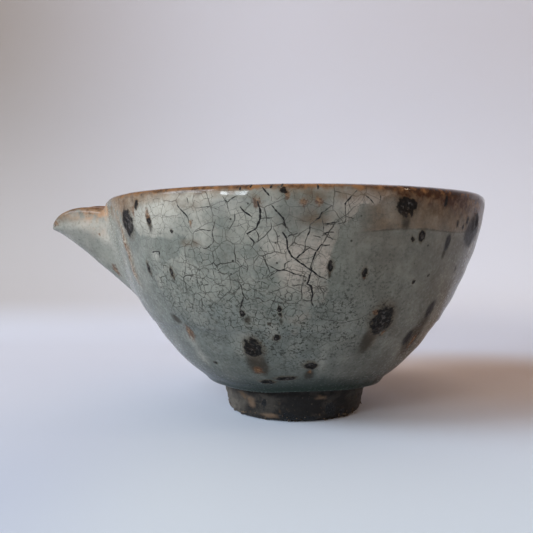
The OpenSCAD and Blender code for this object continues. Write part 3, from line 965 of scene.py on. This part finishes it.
def outerFinish():
    finish, desk = newFinish("grey_crackle_glaze")
    base = desk.here()
    warp = desk.shaken(base, 1.8, 0.75)
    cloud, patchy, grain = glazePattern(desk, base, "cloud", "patchy", "grain")
    drawn = desk.make("ShaderNodeMapping", {"Vector": base, "Scale": (1.0, 1.0, 0.2)})
    streak = desk.noise(drawn, 2.2, 4)
    colour = glassColour(desk, base, cloud, patchy, grain, streak)
    colour, net = crackleColour(desk, base, colour)
    thrown = thrownSpots(desk, warp) + (1 - desk.attr("far")) * 9
    black = spotField(desk, warp, ironSpots["black"], placeOutside).low(thrown)
    rust = spotField(desk, warp, ironSpots["rust"], placeOutside)
    colour = stainColour(desk, colour, black, rust, cloud, patchy, grain, streak)
    colour, lip = lipRust(desk, base, colour)
    iron, ironIn = ironColour(desk, base, black, patchy, grain)
    # iron comes up dry and dull through the glass
    uneven = desk.noise(base, 0.6, 1) * 0.03 - net * 0.3 + desk.noise(base, 3.0, 2) * 0.2
    glass = desk.surface({
        "Base Color": colour,
        "Roughness": (0.12 + 0.26 * grain * (1 - lip) + 0.3 * net).clip(),
        "Coat Weight": (lip * desk.attr("lipGloss") + desk.attr("gloss") * patchy.sharp(4, 1.3)).clip(),
        "Normal": desk.bump(uneven, 0.5, 0.4)}, 0.09)
    pitted = desk.bump(desk.noise(base, 0.8, 4), 0.7, 0.4)
    dry = desk.surface({"Base Color": iron, "Roughness": 0.42, "Normal": pitted}, 0.09)
    desk.show(desk.make("ShaderNodeMixShader", {0: ironIn, 1: glass, 2: dry}))
    return finish


def innerFinish():
    finish, desk = newFinish("pale_inner_glaze")
    base = desk.here()
    cloud, patchy, grain = glazePattern(desk, base, "insideCloud", "patchy", "grain")
    width = 0.05 + 0.3 * (desk.noise(base, 9, 3) - 0.4).high(0.0)
    flat = desk.shaken(desk.attr("unrolled", 1), 2.2, 0.6)
    lines = desk.net(flat, glazePitch["insideNet"], width, 0.4)
    lines = lines * desk.noise(base, 8, 2).ramp(0.38, 0.56)
    thrown = thrownSpots(desk, desk.shaken(base, 1.8, 0.6)) + grain.swing(0.6)
    spot = thrown.ramp(1.05, 0.85)
    well = (desk.part(base, 2) + cloud.swing(6 * mm)).ramp(24 * mm, 15 * mm)  # where glass ran together
    colour = desk.lay(
        desk.mix(cloud.sharp(2.2, 0.7), tones["celadon"], tones["insidePale"]),
        layer("insidePatch", patchy.sharp(3, 1.2)),
        layer("insideGrain", grain.sharp(-6, -2.88), tones["streak"]),
        layer("well", well),
        layer("insideCrack", lines, tones["crackPale"]),
        layer("insideHalo", thrown.ramp(1.7, 0.9), tones["halo"]),
        layer("spot", spot, desk.mix(grain.sharp(4, 1.7), tones["iron"], tones["ironBrown"])),
    )
    colour, lip = lipRust(desk, base, colour)
    desk.show(desk.surface({
        "Base Color": colour,
        "Roughness": (0.12 + 0.26 * grain * (1 - lip) + 0.25 * lines + 0.3 * spot).clip(),
        "Coat Weight": lip * 0.8,
        "Normal": desk.bump(cloud * 0.2 + patchy * 0.12 - lines * 0.3 + spot * 0.3, 0.5, 0.4)}, 0.3))
    return finish


outerGlaze.data.materials.append(outerFinish())
innerGlaze.data.materials.append(innerFinish())
print("glaze finishes made")

# open cracks of the thick white glaze: half width in mm, then turn and height along each
openCracks = {
    "sink": 0.3, "wander": 0.1, "step": 0.5, "seed": 100, "tones": (tone(70, 67, 60), tone(22, 20, 18)),
    "sizes": {"Sides": 10, "Width scale": 1.0},
    "lines": [
        (0.24, [(-5.2, 62.6), (-3.7, 60.8), (-2.6, 59.3), (-1.9, 57.0)]),
        (0.26, [(-2.7, 56.1), (-1.9, 54.6), (-1.7, 52.4), (-0.6, 50.1), (1.5, 48.7), (3.2, 47.5),
               (4.5, 46.6), (6.1, 45.5), (8.7, 44.3)]),
        (0.25, [(4.5, 46.6), (3.8, 44.3), (3.4, 43.2), (4.7, 42.4), (5.1, 40.6), (4.8, 38.9), (5.4, 37.7)]),
        (0.18, [(3.4, 43.2), (1.9, 42.6), (2.1, 41.2), (2.3, 39.3)]),
        (0.21, [(2.3, 39.3), (3.4, 38.8), (4.8, 38.9)]),
        (0.22, [(4.5, 46.6), (4.2, 47.6), (5.0, 50.5), (6.6, 53.0), (8.9, 52.9)]),
        (0.16, [(6.6, 53.0), (6.5, 54.8), (4.6, 55.3)]),
        (0.19, [(2.7, 51.7), (2.7, 53.8), (3.6, 56.2), (4.0, 58.0), (5.9, 59.4), (6.5, 60.7), (8.8, 62.6)]),
        (0.28, [(-8.6, 63.5), (-7.8, 61.1), (-8.4, 58.5), (-9.4, 56.9), (-11.5, 55.8)]),
        (0.20, [(-11.5, 55.8), (-9.8, 53.6), (-10.5, 52.3)]),
        (0.15, [(-9.4, 56.9), (-8.5, 55.2), (-9.0, 53.7)]),
        (0.22, [(-12.7, 62.4), (-11.6, 60.9), (-9.8, 59.8)]),
        (0.18, [(-17.1, 65.1), (-15.9, 63.6), (-15.8, 61.9)]),
        (0.16, [(-15.9, 63.6), (-13.7, 65.0)]),
        (0.16, [(-7.8, 59.5), (-6.0, 59.5), (-4.4, 59.9)]),
        (0.16, [(-5.6, 59.2), (-5.3, 57.0), (-7.5, 54.8), (-9.2, 53.6)]),
        (0.22, [(-6.2, 47.8), (-4.1, 46.8), (-2.5, 46.8), (-0.2, 46.0), (3.5, 44.9)]),
        (0.17, [(-2.5, 46.8), (-2.4, 48.3), (-0.5, 49.5)]),
        (0.22, [(0.6, 49.7), (2.7, 51.6), (3.8, 52.1)]),
        (0.14, [(-8.4, 52.6), (-7.3, 51.0), (-7.2, 48.1), (-6.1, 47.8)]),
        (0.16, [(-14.1, 61.2), (-14.3, 59.2), (-16.4, 56.3)]),
        (0.15, [(-19.1, 59.5), (-20.7, 56.4), (-20.3, 53.9), (-21.1, 53.3)]),
        (0.18, [(-24.0, 52.5), (-23.3, 52.0), (-21.1, 53.3)]),
        (0.16, [(-21.1, 46.0), (-17.5, 45.6), (-17.6, 42.4), (-18.6, 40.5)]),
        (0.14, [(-22.6, 44.2), (-21.9, 43.0), (-19.7, 42.4)]),
        (0.17, [(-17.1, 44.2), (-15.2, 44.2), (-14.5, 42.5), (-14.4, 40.3), (-13.6, 38.9), (-12.0, 40.3)]),
        (0.22, [(-14.5, 39.9), (-16.1, 36.7), (-15.7, 35.7)]),
        (0.16, [(-12.1, 39.2), (-9.7, 39.5), (-8.4, 38.4), (-6.8, 39.1), (-4.0, 38.4), (-1.7, 38.2),
               (0.7, 38.2)]),
        (0.17, [(6.5, 55.2), (8.2, 56.2), (9.7, 56.1)]),
        (0.18, [(7.0, 57.9), (8.9, 58.2), (10.8, 58.8)]),
        (0.16, [(6.5, 60.6), (6.5, 59.3), (7.1, 57.0), (7.1, 56.1)]),
        (0.13, [(-2.7, 55.4), (-5.0, 54.8)]),
        (0.18, [(-1.9, 54.6), (-1.0, 55.4), (1.0, 55.9)]),
        (0.15, [(-20.1, 56.8), (-23.4, 56.9), (-25.9, 56.4)]),
        (0.14, [(-23.1, 62.4), (-20.8, 62.6), (-17.8, 61.6)]),
        (0.13, [(-12.3, 51.8), (-12.8, 49.3), (-12.1, 47.6), (-12.6, 45.5)]),
        (0.13, [(-14.8, 49.3), (-13.7, 47.6), (-12.2, 46.8)]),
        (0.15, [(-0.6, 42.9), (2.9, 43.1)]),
        (0.15, [(5.2, 40.4), (6.6, 41.9), (8.2, 42.1), (8.4, 40.4)]),
        (0.18, [(4.6, 39.0), (5.5, 37.3)]),
        (0.14, [(-28.5, 40.0), (-28.5, 37.7), (-30.0, 35.3)]),
        (0.15, [(-7.3, 44.7), (-5.9, 45.5), (-4.1, 46.8)]),
        (0.13, [(9.6, 54.2), (8.3, 55.4), (6.5, 55.2)]),
        (0.20, [(14.7, 66.0), (12.0, 63.1), (12.3, 59.0), (12.0, 58.3)]),
        (0.13, [(12.0, 58.3), (9.3, 58.0), (6.7, 57.6)]),
        (0.20, [(-29.7, 63.3), (-26.8, 59.9), (-27.0, 58.7)]),
        (0.15, [(-26.3, 63.7), (-26.7, 65.2)]),
        (0.25, [(-42.4, 51.4), (-39.2, 51.6), (-40.0, 49.8)]),
        (0.13, [(-46.2, 39.0), (-41.1, 39.3)]),
        (0.13, [(-35.4, 43.6), (-35.1, 40.3)]),
        (0.13, [(-32.4, 35.4), (-28.9, 35.3), (-25.0, 35.7)]),
        (0.13, [(9.7, 36.1), (13.5, 35.5), (17.2, 35.9)]),
        (0.15, [(9.4, 33.9), (14.7, 32.7), (20.5, 33.6), (24.5, 35.7)]),
        (0.13, [(11.3, 35.8), (11.5, 38.5), (12.6, 38.7)]),
        (0.16, [(16.8, 65.1), (19.2, 63.2), (19.2, 62.5)]),
        (0.14, [(20.0, 66.3), (20.9, 64.4), (20.5, 63.2)]),
        (0.26, [(-12.7, 66.3), (-12.5, 67.3), (-12.2, 67.9)]),
        (0.24, [(-10.3, 66.9), (-10.0, 67.9)]),
        (0.26, [(-7.7, 67.9), (-7.3, 67.0), (-6.4, 65.8), (-5.6, 64.8)]),
        (0.25, [(-5.5, 66.7), (-5.0, 67.8)]),
        (0.26, [(-2.9, 67.0), (-2.5, 67.9)]),
        (0.28, [(5.3, 66.2), (5.6, 67.1), (5.3, 67.9)]),
    ],
}


# a point on the glazed outside by turn and height, and the way out of it
def surfacePoint(turn, z):
    at = np.interp(-wrap(turn + 90), columns, np.arange(columnCount))
    low = int(at)
    part = at - low
    rows = slice(glazeGrid["rollRows"], crestRow + 1)
    mixed = np.zeros(6)
    for column, share in ((low, 1 - part), ((low + 1) % columnCount, part)):
        line = np.hstack([grid[rows, column], normals[rows, column]])
        mixed += share * np.array([np.interp(z, line[:, 2], line[:, k]) for k in range(6)])
    return mixed[:3], mixed[3:] / np.linalg.norm(mixed[3:])


# a crack's points under the glaze, and the radius of its tube at each
def crackLine(number, width, line):
    o = openCracks
    dice = np.random.default_rng(o["seed"] + number)
    turns, zs = np.array(line).T
    run = np.concatenate([[0], np.cumsum(np.hypot(np.diff(turns) * perTurn, np.diff(zs)))])
    count = max(4, int(run[-1] / o["step"]))
    at = np.linspace(0, run[-1], count + 1)

    # a value along the line, shaken a little
    def wandering(values):
        shake = np.convolve(dice.normal(size=count + 3), [0.25, 0.5, 0.25], "valid")
        return np.interp(at, run, values) + shake * o["wander"]

    turns, zs = wandering(turns), wandering(zs)
    points, halves = [], []
    for k in range(count + 1):
        point, out = surfacePoint(turns[k], zs[k])
        taper = 0.35 + 0.65 * math.sin(math.pi * min(1, 0.12 + 0.8 * k / count)) ** 0.6
        points.append(point - o["sink"] * out)
        halves.append(math.hypot(width * taper * dice.uniform(0.6, 1.3), o["sink"]) * mm)
    return points, halves


def crackFinish():
    pale, deep = openCracks["tones"]
    finish, desk = newFinish("crack_stain")
    dark = desk.attr("half").ramp(0.325 * mm, 0.375 * mm) + desk.noise(desk.here(), 2.5, 3).swing(0.9)
    desk.show(desk.surface({"Base Color": desk.mix(dark.clip(), pale, deep), "Roughness": 0.75}))
    return finish


def crackTubes(desk, given):
    lines = desk.make("GeometryNodeMeshToCurve", {"Mesh": given["Geometry"]})
    ring = desk.make("GeometryNodeCurvePrimitiveCircle", {"Resolution": given["Sides"], "Radius": 1.0})
    half = desk.make("GeometryNodeInputNamedAttribute", {"Name": "half"}, {"data_type": "FLOAT"})
    return desk.make("GeometryNodeCurveToMesh", {
        "Curve": lines, "Profile Curve": ring, "Scale": half * given["Width scale"], "Fill Caps": True})


def makeCracks():
    found = [crackLine(number, *item) for number, item in enumerate(openCracks["lines"])]
    mesh = wires("open_cracks", [points for points, halves in found])
    half = mesh.attributes.new("half", "FLOAT", "POINT")
    half.data.foreach_set("value", tight(sum((halves for points, halves in found), [])))
    return grow("open_cracks", openCracks["sizes"], mesh, crackFinish(), crackTubes)


cracks = makeCracks()
print("open cracks:", len(cracks.data.polygons), "faces")

# drops of black glass and bare tan patches on the foot: turn, height, half width, half height, lean
footMarks = {
    "black": [
        (-4, 1.6, 3.4, 1.3, 4), (30, 3.4, 1.8, 2.6, -38), (42, 2.2, 1.3, 1.0, 0), (-24, 5.6, 0.9, 1.6, 10),
        (12, 1.2, 2.6, 0.9, 0), (150, 2.4, 2.4, 1.4, 8), (228, 4.0, 1.5, 2.2, 0)],
    "tan": [
        (-36, 5.4, 1.9, 2.2, -14), (-20, 1.6, 3.6, 0.9, 0), (20, 7.6, 2.0, 0.9, 0), (118, 5.0, 2.4, 1.8, 0),
        (196, 1.8, 4.2, 1.0, 0)],
    # the cone they lie on: radius at the table, and its growth for each mm up
    "cone": (21.6, 0.2),
}
# bare clay: pale, dark and tan, then the grains, pits, patches and drops on it
clayTones = {
    "foot": (tone(88, 82, 73), tone(23, 20, 17), tone(104, 80, 54)),
    "bowl": (tone(92, 78, 66), tone(58, 51, 45), tone(140, 108, 78)),
    "grain": tone(120, 106, 90), "pit": tone(18, 16, 15),
    "patch": tone(132, 106, 82), "drop": tone(10, 10, 9),
}


# the same as placeOutside, on the foot's cone
def placeFoot(turn, z):
    atTable, growth = footMarks["cone"]
    t = math.radians(turn)
    out = Vector((math.sin(t), -math.cos(t), 0))
    up = Vector((0, 0, 1))
    return out * (atTable + growth * z) + up * z, Vector((math.cos(t), math.sin(t), 0)), up, out


def clayFinish(name, kind, marks=None):
    light, dark, tan = clayTones[kind]
    finish, desk = newFinish(name)
    base = desk.here()
    across = desk.part(base, 0)
    cloud, grain = desk.noise(base, 6, 4), desk.noise(base, 0.7, 3)
    rough = 0.62 + 0.3 * grain
    colour = desk.lay(
        desk.mix(((cloud * 3.0 - 1.2) * 0.8 + across.ramp(-24 * mm, -4 * mm) * 0.75).clip(), light, dark),
        (across.ramp(15 * mm, 25 * mm) * 0.6, light),
        ((desk.noise(base, 5.0, 4) - 0.5).ramp(0.10, 0.2) * 0.5, tan),
        ((grain - 0.5).ramp(0.13, 0.22) * 0.35, clayTones["grain"]),
        ((0.5 - desk.noise(base, 1.6, 3)).ramp(0.06, 0.16) * 0.7, clayTones["pit"]),
    )
    if marks:
        warp = desk.shaken(base, 1.8, 0.8)
        patch = (spotField(desk, warp, marks["tan"], placeFoot) + cloud.swing(1.2)).ramp(1.3, 0.2)
        drop = (spotField(desk, warp, marks["black"], placeFoot) + grain.swing(0.6)).ramp(1.1, 0.8)
        colour = desk.lay(colour, (patch * 0.5, clayTones["patch"]), (drop * 0.96, clayTones["drop"]))
        rough = (rough - drop * 0.5).clip()
    bump = desk.bump(grain * 0.4 + desk.noise(base, 2.2, 4), 0.6, 0.45)
    desk.show(desk.surface({"Base Color": colour, "Roughness": rough, "Normal": bump}))
    return finish


footClay = clayFinish("bare_foot_clay", "foot", footMarks)
bareClay = clayFinish("bare_bowl_clay", "bowl")

# ring and recess turned on the wheel: section as radius and height in mm, and the marks of the tool
turnedFoot = {
    "ring": [
        (15.8, 9.9), (15.8, 5.2), (16.5, 1.1), (16.9, 0.35), (17.6, 0.0), (19.3, 0.0), (20.4, 0.15),
        (21.2, 0.75), (21.7, 1.7), (21.9, 2.9), (22.5, 5.6), (23.2, 8.2), (23.4, 9.9), (15.8, 9.9)],
    "ringSizes": {
        "Around": 260, "Along": 120, "Mark pitch": 2.3, "Mark depth": 0.07, "Marks across": 0.0,
        "Rough size": 3.0, "Rough depth": 0.34, "Chip depth": 0.75, "Seed": 4.0},
    "recess": [(0.0, 4.05), (0.7, 4.35), (1.9, 5.0), (8.0, 5.08), (15.9, 5.05), (15.9, 6.4), (0.0, 6.4)],
    "recessSizes": {
        "Around": 200, "Along": 150, "Mark pitch": 2.4, "Mark depth": 0.16, "Marks across": 1.0,
        "Rough size": 4.0, "Rough depth": 0.16, "Chip depth": 0.0, "Seed": 9.0},
}


def turnedShape(desk, given):
    section = desk.make("GeometryNodeMeshToCurve", {"Mesh": given["Geometry"]})
    shape = desk.make("GeometryNodeMeshGrid", {
        "Size X": 1.0, "Size Y": 1.0, "Vertices X": given["Around"], "Vertices Y": given["Along"]})
    sheet = desk.position()
    angle = (desk.part(sheet, 0) + 0.5) * (2 * math.pi)
    share = {"Curves": section, "Factor": desk.part(sheet, 1) + 0.5}
    spot = desk.make("GeometryNodeSampleCurve", share, {"mode": "FACTOR"}, 1)
    r = desk.part(spot, 0)
    place = {0: r * angle.on("COSINE"), 1: r * angle.on("SINE"), 2: desk.part(spot, 2)}
    turned = {"Geometry": shape, "Position": desk.make("ShaderNodeCombineXYZ", place)}
    shape = desk.make("GeometryNodeSetPosition", turned)
    shape = desk.make("GeometryNodeMergeByDistance", {"Geometry": shape, "Distance": 0.01 * mm})
    # tool marks wind round like a screw, then the clay's own roughness and chips at the table
    here = desk.position()
    x, y, z = (desk.part(here, axis) for axis in range(3))
    across = given["Marks across"]
    wind = ((x * x + y * y) ** 0.5 * across + z * (1 - across)) * (2 * math.pi / mm) / given["Mark pitch"]
    marks = (wind + y.on("ARCTAN2", x)).on("SINE") * given["Mark depth"]

    def seeded(seed, scale, detail):
        values = {"Vector": here, "W": seed, "Scale": scale, "Detail": detail}
        return desk.make("ShaderNodeTexNoise", values, {"noise_dimensions": "4D"})

    roughScale = (1 / mm) / given["Rough size"]
    rough = seeded(given["Seed"], roughScale, 4.0)
    flake = seeded(given["Seed"] + 7.0, roughScale * 0.8, 2.0)
    chip = flake.ramp(0.56, 0.7) * z.ramp(3.0 * mm, 1.0 * mm) * given["Chip depth"]
    amount = (marks + (rough - 0.55) * given["Rough depth"] - chip) * mm
    push = desk.scale(desk.make("GeometryNodeInputNormal"), amount)
    shape = desk.make("GeometryNodeSetPosition", {"Geometry": shape, "Offset": push})
    # nothing goes below the table
    lifted = desk.vec("MAXIMUM", desk.position(), (-1.0, -1.0, 0.0))
    return desk.make("GeometryNodeSetPosition", {"Geometry": shape, "Position": lifted})


def turnedPiece(name, kind, finish):
    source = wires(name, [[(r, 0, h) for r, h in turnedFoot[kind]]])
    return grow(name, turnedFoot[kind + "Sizes"], source, finish, turnedShape)


footRing = turnedPiece("foot_ring_clay", "ring", footClay)
recess = turnedPiece("foot_recess_clay", "recess", bareClay)
print("turned foot:", len(footRing.data.polygons), "and", len(recess.data.polygons), "faces")

# kiln grit stuck along the foot's lower edge: grains for 0.1 square mm, and sizes in mm
footGrit = {
    "sizes": {"Density": 0.055, "Grain size": 0.5, "Top": 2.2, "Seed": 12},
    "fromR": 19.6, "least": (0.3, 0.2, 0.2), "most": (1.7, 1.1, 0.6),
    "tones": (tone(92, 78, 62), tone(58, 46, 36), tone(118, 104, 86)),
}


def gritFinish():
    light, dark, dusty = footGrit["tones"]
    finish, desk = newFinish("kiln_grit")
    base = desk.here()
    colour = desk.mix(desk.noise(base, 5, 2).ramp(0.4, 0.62), light, dark)
    colour = desk.mix(desk.noise(base, 2, 2).ramp(0.55, 0.7), colour, dusty)
    desk.show(desk.surface({"Base Color": colour, "Roughness": 0.8}))
    return finish


def gritGrains(desk, given):
    here = desk.position()
    x, y, z = (desk.part(here, axis) for axis in range(3))
    outer = (x * x + y * y).on("GREATER_THAN", (footGrit["fromR"] * mm) ** 2)
    low = z.on("LESS_THAN", given["Top"] * mm)
    thick = desk.make("ShaderNodeTexNoise", {"Vector": here, "Scale": 160.0}).ramp(0.45, 0.6)
    density = outer * low * thick * given["Density"] * 1e7
    points = desk.make("GeometryNodeDistributePointsOnFaces", {
        "Mesh": given["Geometry"], "Density": density, "Seed": given["Seed"]})
    ball = {"Radius": given["Grain size"] * mm, "Subdivisions": 1}
    grain = desk.make("GeometryNodeMeshIcoSphere", ball)

    def drawn(least, most, seed):
        values = {0: least, 1: most, "Seed": seed}
        return desk.make("FunctionNodeRandomValue", values, {"data_type": "FLOAT_VECTOR"})

    size = drawn(footGrit["least"], footGrit["most"], given["Seed"])
    spin = drawn((0, 0, 0), (6.28, 6.28, 6.28), given["Seed"] + 3)
    values = {"Points": points, "Instance": grain, "Scale": size, "Rotation": spin}
    return desk.make("GeometryNodeInstanceOnPoints", values)


def makeGrit():
    piece = grow("foot_grit", footGrit["sizes"], footRing.data.copy(), gritFinish(), gritGrains)
    places = np.array([v.co for v in piece.data.vertices]).reshape(-1, 3)
    piece.data.vertices.foreach_set("co", np.maximum(places, [-1, -1, 0]).reshape(-1))
    return piece


grit = makeGrit()
print("grit:", len(grit.data.polygons), "faces")

for name in ("bowl", "spout"):
    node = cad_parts[name]
    node.data.materials.clear()
    node.data.materials.append(bareClay)

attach(footRing, "root")
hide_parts("foot_ring")
for piece, slot in ((recess, "clay"), (grit, "foot_clay"), (cracks, "outer_glaze")):
    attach(piece, "root")
for piece, node in ((outerGlaze, "outer_glaze"), (innerGlaze, "inner_glaze")):
    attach(piece, "root")
    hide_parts(node)
print("glaze pieces in place")

# table and wall in one sweep, in metres, with a painted warm shadow beside the bowl, painted dark shade under
# it, and painted shade darker to the left
backdrop = {
    "wallY": 0.30, "bend": 0.16, "bendSteps": 12, "flat": (-2.6, -0.2, 0.05),
    "wide": 3.0, "high": 1.1, "drop": -0.0001,
    # the low, wall and near tones: painted shade, darker and warmer to the left
    "floor": tone(226, 233, 246), "low": (tone(197, 195, 194), tone(236, 240, 248)),
    "wall": (tone(148, 134, 120), tone(220, 216, 219)), "near": (tone(210, 225, 246), tone(226, 242, 255)),
    # a painted warm shadow beside the bowl: middle, sizes and tone
    "paintedShadow": ((0.072, 0.050, 0.0), (0.094, 0.072, 0.1), tone(214, 202, 194)),
    # painted dark shade under the bowl: middle, sizes and tone
    "under": ((0.014, 0.038, 0.0), (0.052, 0.05, 0.1), tone(220, 218, 218)),
}


def backdropFinish():
    b = backdrop
    finish, desk = newFinish("pale_table")
    base = desk.here()
    side, deep, up = (desk.part(base, axis) for axis in range(3))
    paintedShadow, under = (desk.away(base, *b[key][:2]) for key in ("paintedShadow", "under"))
    colour = desk.lay(
        b["floor"],
        # painted shade: the bend, the wall and the near floor darker to the left
        (up.ramp(0.0, 0.022), desk.mix(side.ramp(-0.26, 0.10), *b["low"])),
        (up.ramp(0.0, 0.25), desk.mix(side.ramp(-0.32, 0.02), *b["wall"])),
        (deep.ramp(0.02, -0.10), desk.mix(side.ramp(-0.07, -0.02), *b["near"])),
        # painted warm shadow beside the bowl
        (paintedShadow.ramp(1.25, 0.3), b["paintedShadow"][2]),
    )
    # painted dark shade under the bowl, multiplied in
    colour = desk.mix(under.ramp(1.15, 0.45), colour, b["under"][2], "MULTIPLY")
    desk.show(desk.surface({"Base Color": colour, "Roughness": 0.9}))
    return finish


def makeBackdrop():
    b = backdrop
    line = [(y, b["drop"]) for y in b["flat"]]
    for t in np.linspace(0, math.pi / 2, b["bendSteps"] + 1):
        line.append((b["wallY"] - b["bend"] * (1 - math.sin(t)), b["drop"] + b["bend"] * (1 - math.cos(t))))
    line.append((b["wallY"], b["high"]))
    verts = [(x, y, z) for y, z in line for x in (-b["wide"], b["wide"])]
    faces = [(2 * k, 2 * k + 1, 2 * k + 3, 2 * k + 2) for k in range(len(line) - 1)]
    mesh = bpy.data.meshes.new("table_and_wall")
    mesh.from_pydata(verts, [], faces)
    mesh.materials.append(backdropFinish())
    sheet = newPiece("table_and_wall", mesh)
    sheet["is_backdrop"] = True


makeBackdrop()

# name: place, aim, size, power, colour
studio = {
    "window": ((-1.75, -0.75, 1.05), (0, 0, 0.04), (1.1, 1.0), 37.2, (0.785, 0.895, 1.02)),
    "windowGlint": ((-0.61, -0.925, 0.40), (0, 0, 0.06), (0.29, 0.24), 3.6, (0.84, 0.93, 1.0)),
    "roomLamp": ((0.95, -0.30, 0.72), (0, 0, 0.06), (0.06, 0.06), 0.5, (1.0, 0.78, 0.55)),
}
# glow of the room behind and in front of the bowl, and what the camera sees of it
roomTones = {"behind": (0.51, 0.34, 0.24, 1), "front": (0.172, 0.113, 0.078, 1), "seen": tone(196, 192, 196)}


def areaLight(name, place, aim, size, power, colour):
    data = bpy.data.lights.new(name, "AREA")
    data.shape = "RECTANGLE"
    data.size, data.size_y = size
    data.energy = power
    data.color = colour
    lamp = bpy.data.objects.new(name, data)
    lamp.location = place
    lamp.rotation_euler = (Vector(aim) - Vector(place)).to_track_quat("-Z", "Y").to_euler()
    scene.collection.objects.link(lamp)


def makeRoom():
    world = bpy.data.worlds.new("soft_room")
    world.use_nodes = True
    desk = Desk(world.node_tree)
    front = desk.part(desk.make("ShaderNodeTexCoord"), 1) * -1.0
    glow = desk.mix(front.ramp(0.1, 0.9), roomTones["behind"], roomTones["front"])
    cameraSees = desk.make("ShaderNodeLightPath")
    feed(desk.tree, desk.tree.nodes["Background"].inputs[0], desk.mix(cameraSees, glow, roomTones["seen"]))
    scene.world = world


for name, setup in studio.items():
    areaLight(name, *setup)
makeRoom()

# camera at the photograph's view: place in metres, angles in radians, focal length and image in pixels
view = {
    "place": (0.0, -0.2186126, 0.051348), "pitch": 0.0224, "yaw": -0.0419, "roll": 0.0031,
    "focalPx": 658.7475, "imagePx": 533, "sensor": 36.0, "nearest": 0.01,
}


def makeCamera():
    p, y, r = view["pitch"], view["yaw"], view["roll"]
    ahead = Vector((math.sin(y) * math.cos(p), math.cos(y) * math.cos(p), -math.sin(p)))
    right = Vector((math.cos(y), -math.sin(y), 0))
    up = Vector((math.sin(y) * math.sin(p), math.cos(y) * math.sin(p), math.cos(p)))
    imageRight = right * math.cos(r) - up * math.sin(r)
    imageUp = right * math.sin(r) + up * math.cos(r)
    data = bpy.data.cameras.new("photo_view")
    data.sensor_fit = "HORIZONTAL"
    data.sensor_width = view["sensor"]
    data.lens = view["focalPx"] * view["sensor"] / view["imagePx"]
    data.clip_start = view["nearest"]
    camera = bpy.data.objects.new("photo_view", data)
    turned = Matrix((imageRight, imageUp, -ahead)).transposed().to_4x4()
    camera.matrix_world = Matrix.Translation(view["place"]) @ turned
    scene.collection.objects.link(camera)
    scene.camera = camera


makeCamera()
print("studio and camera set")

plain = lambda box: [[float(v) for v in corner] for corner in box]
{"cad": plain(cadBox), "visual": plain(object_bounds())}
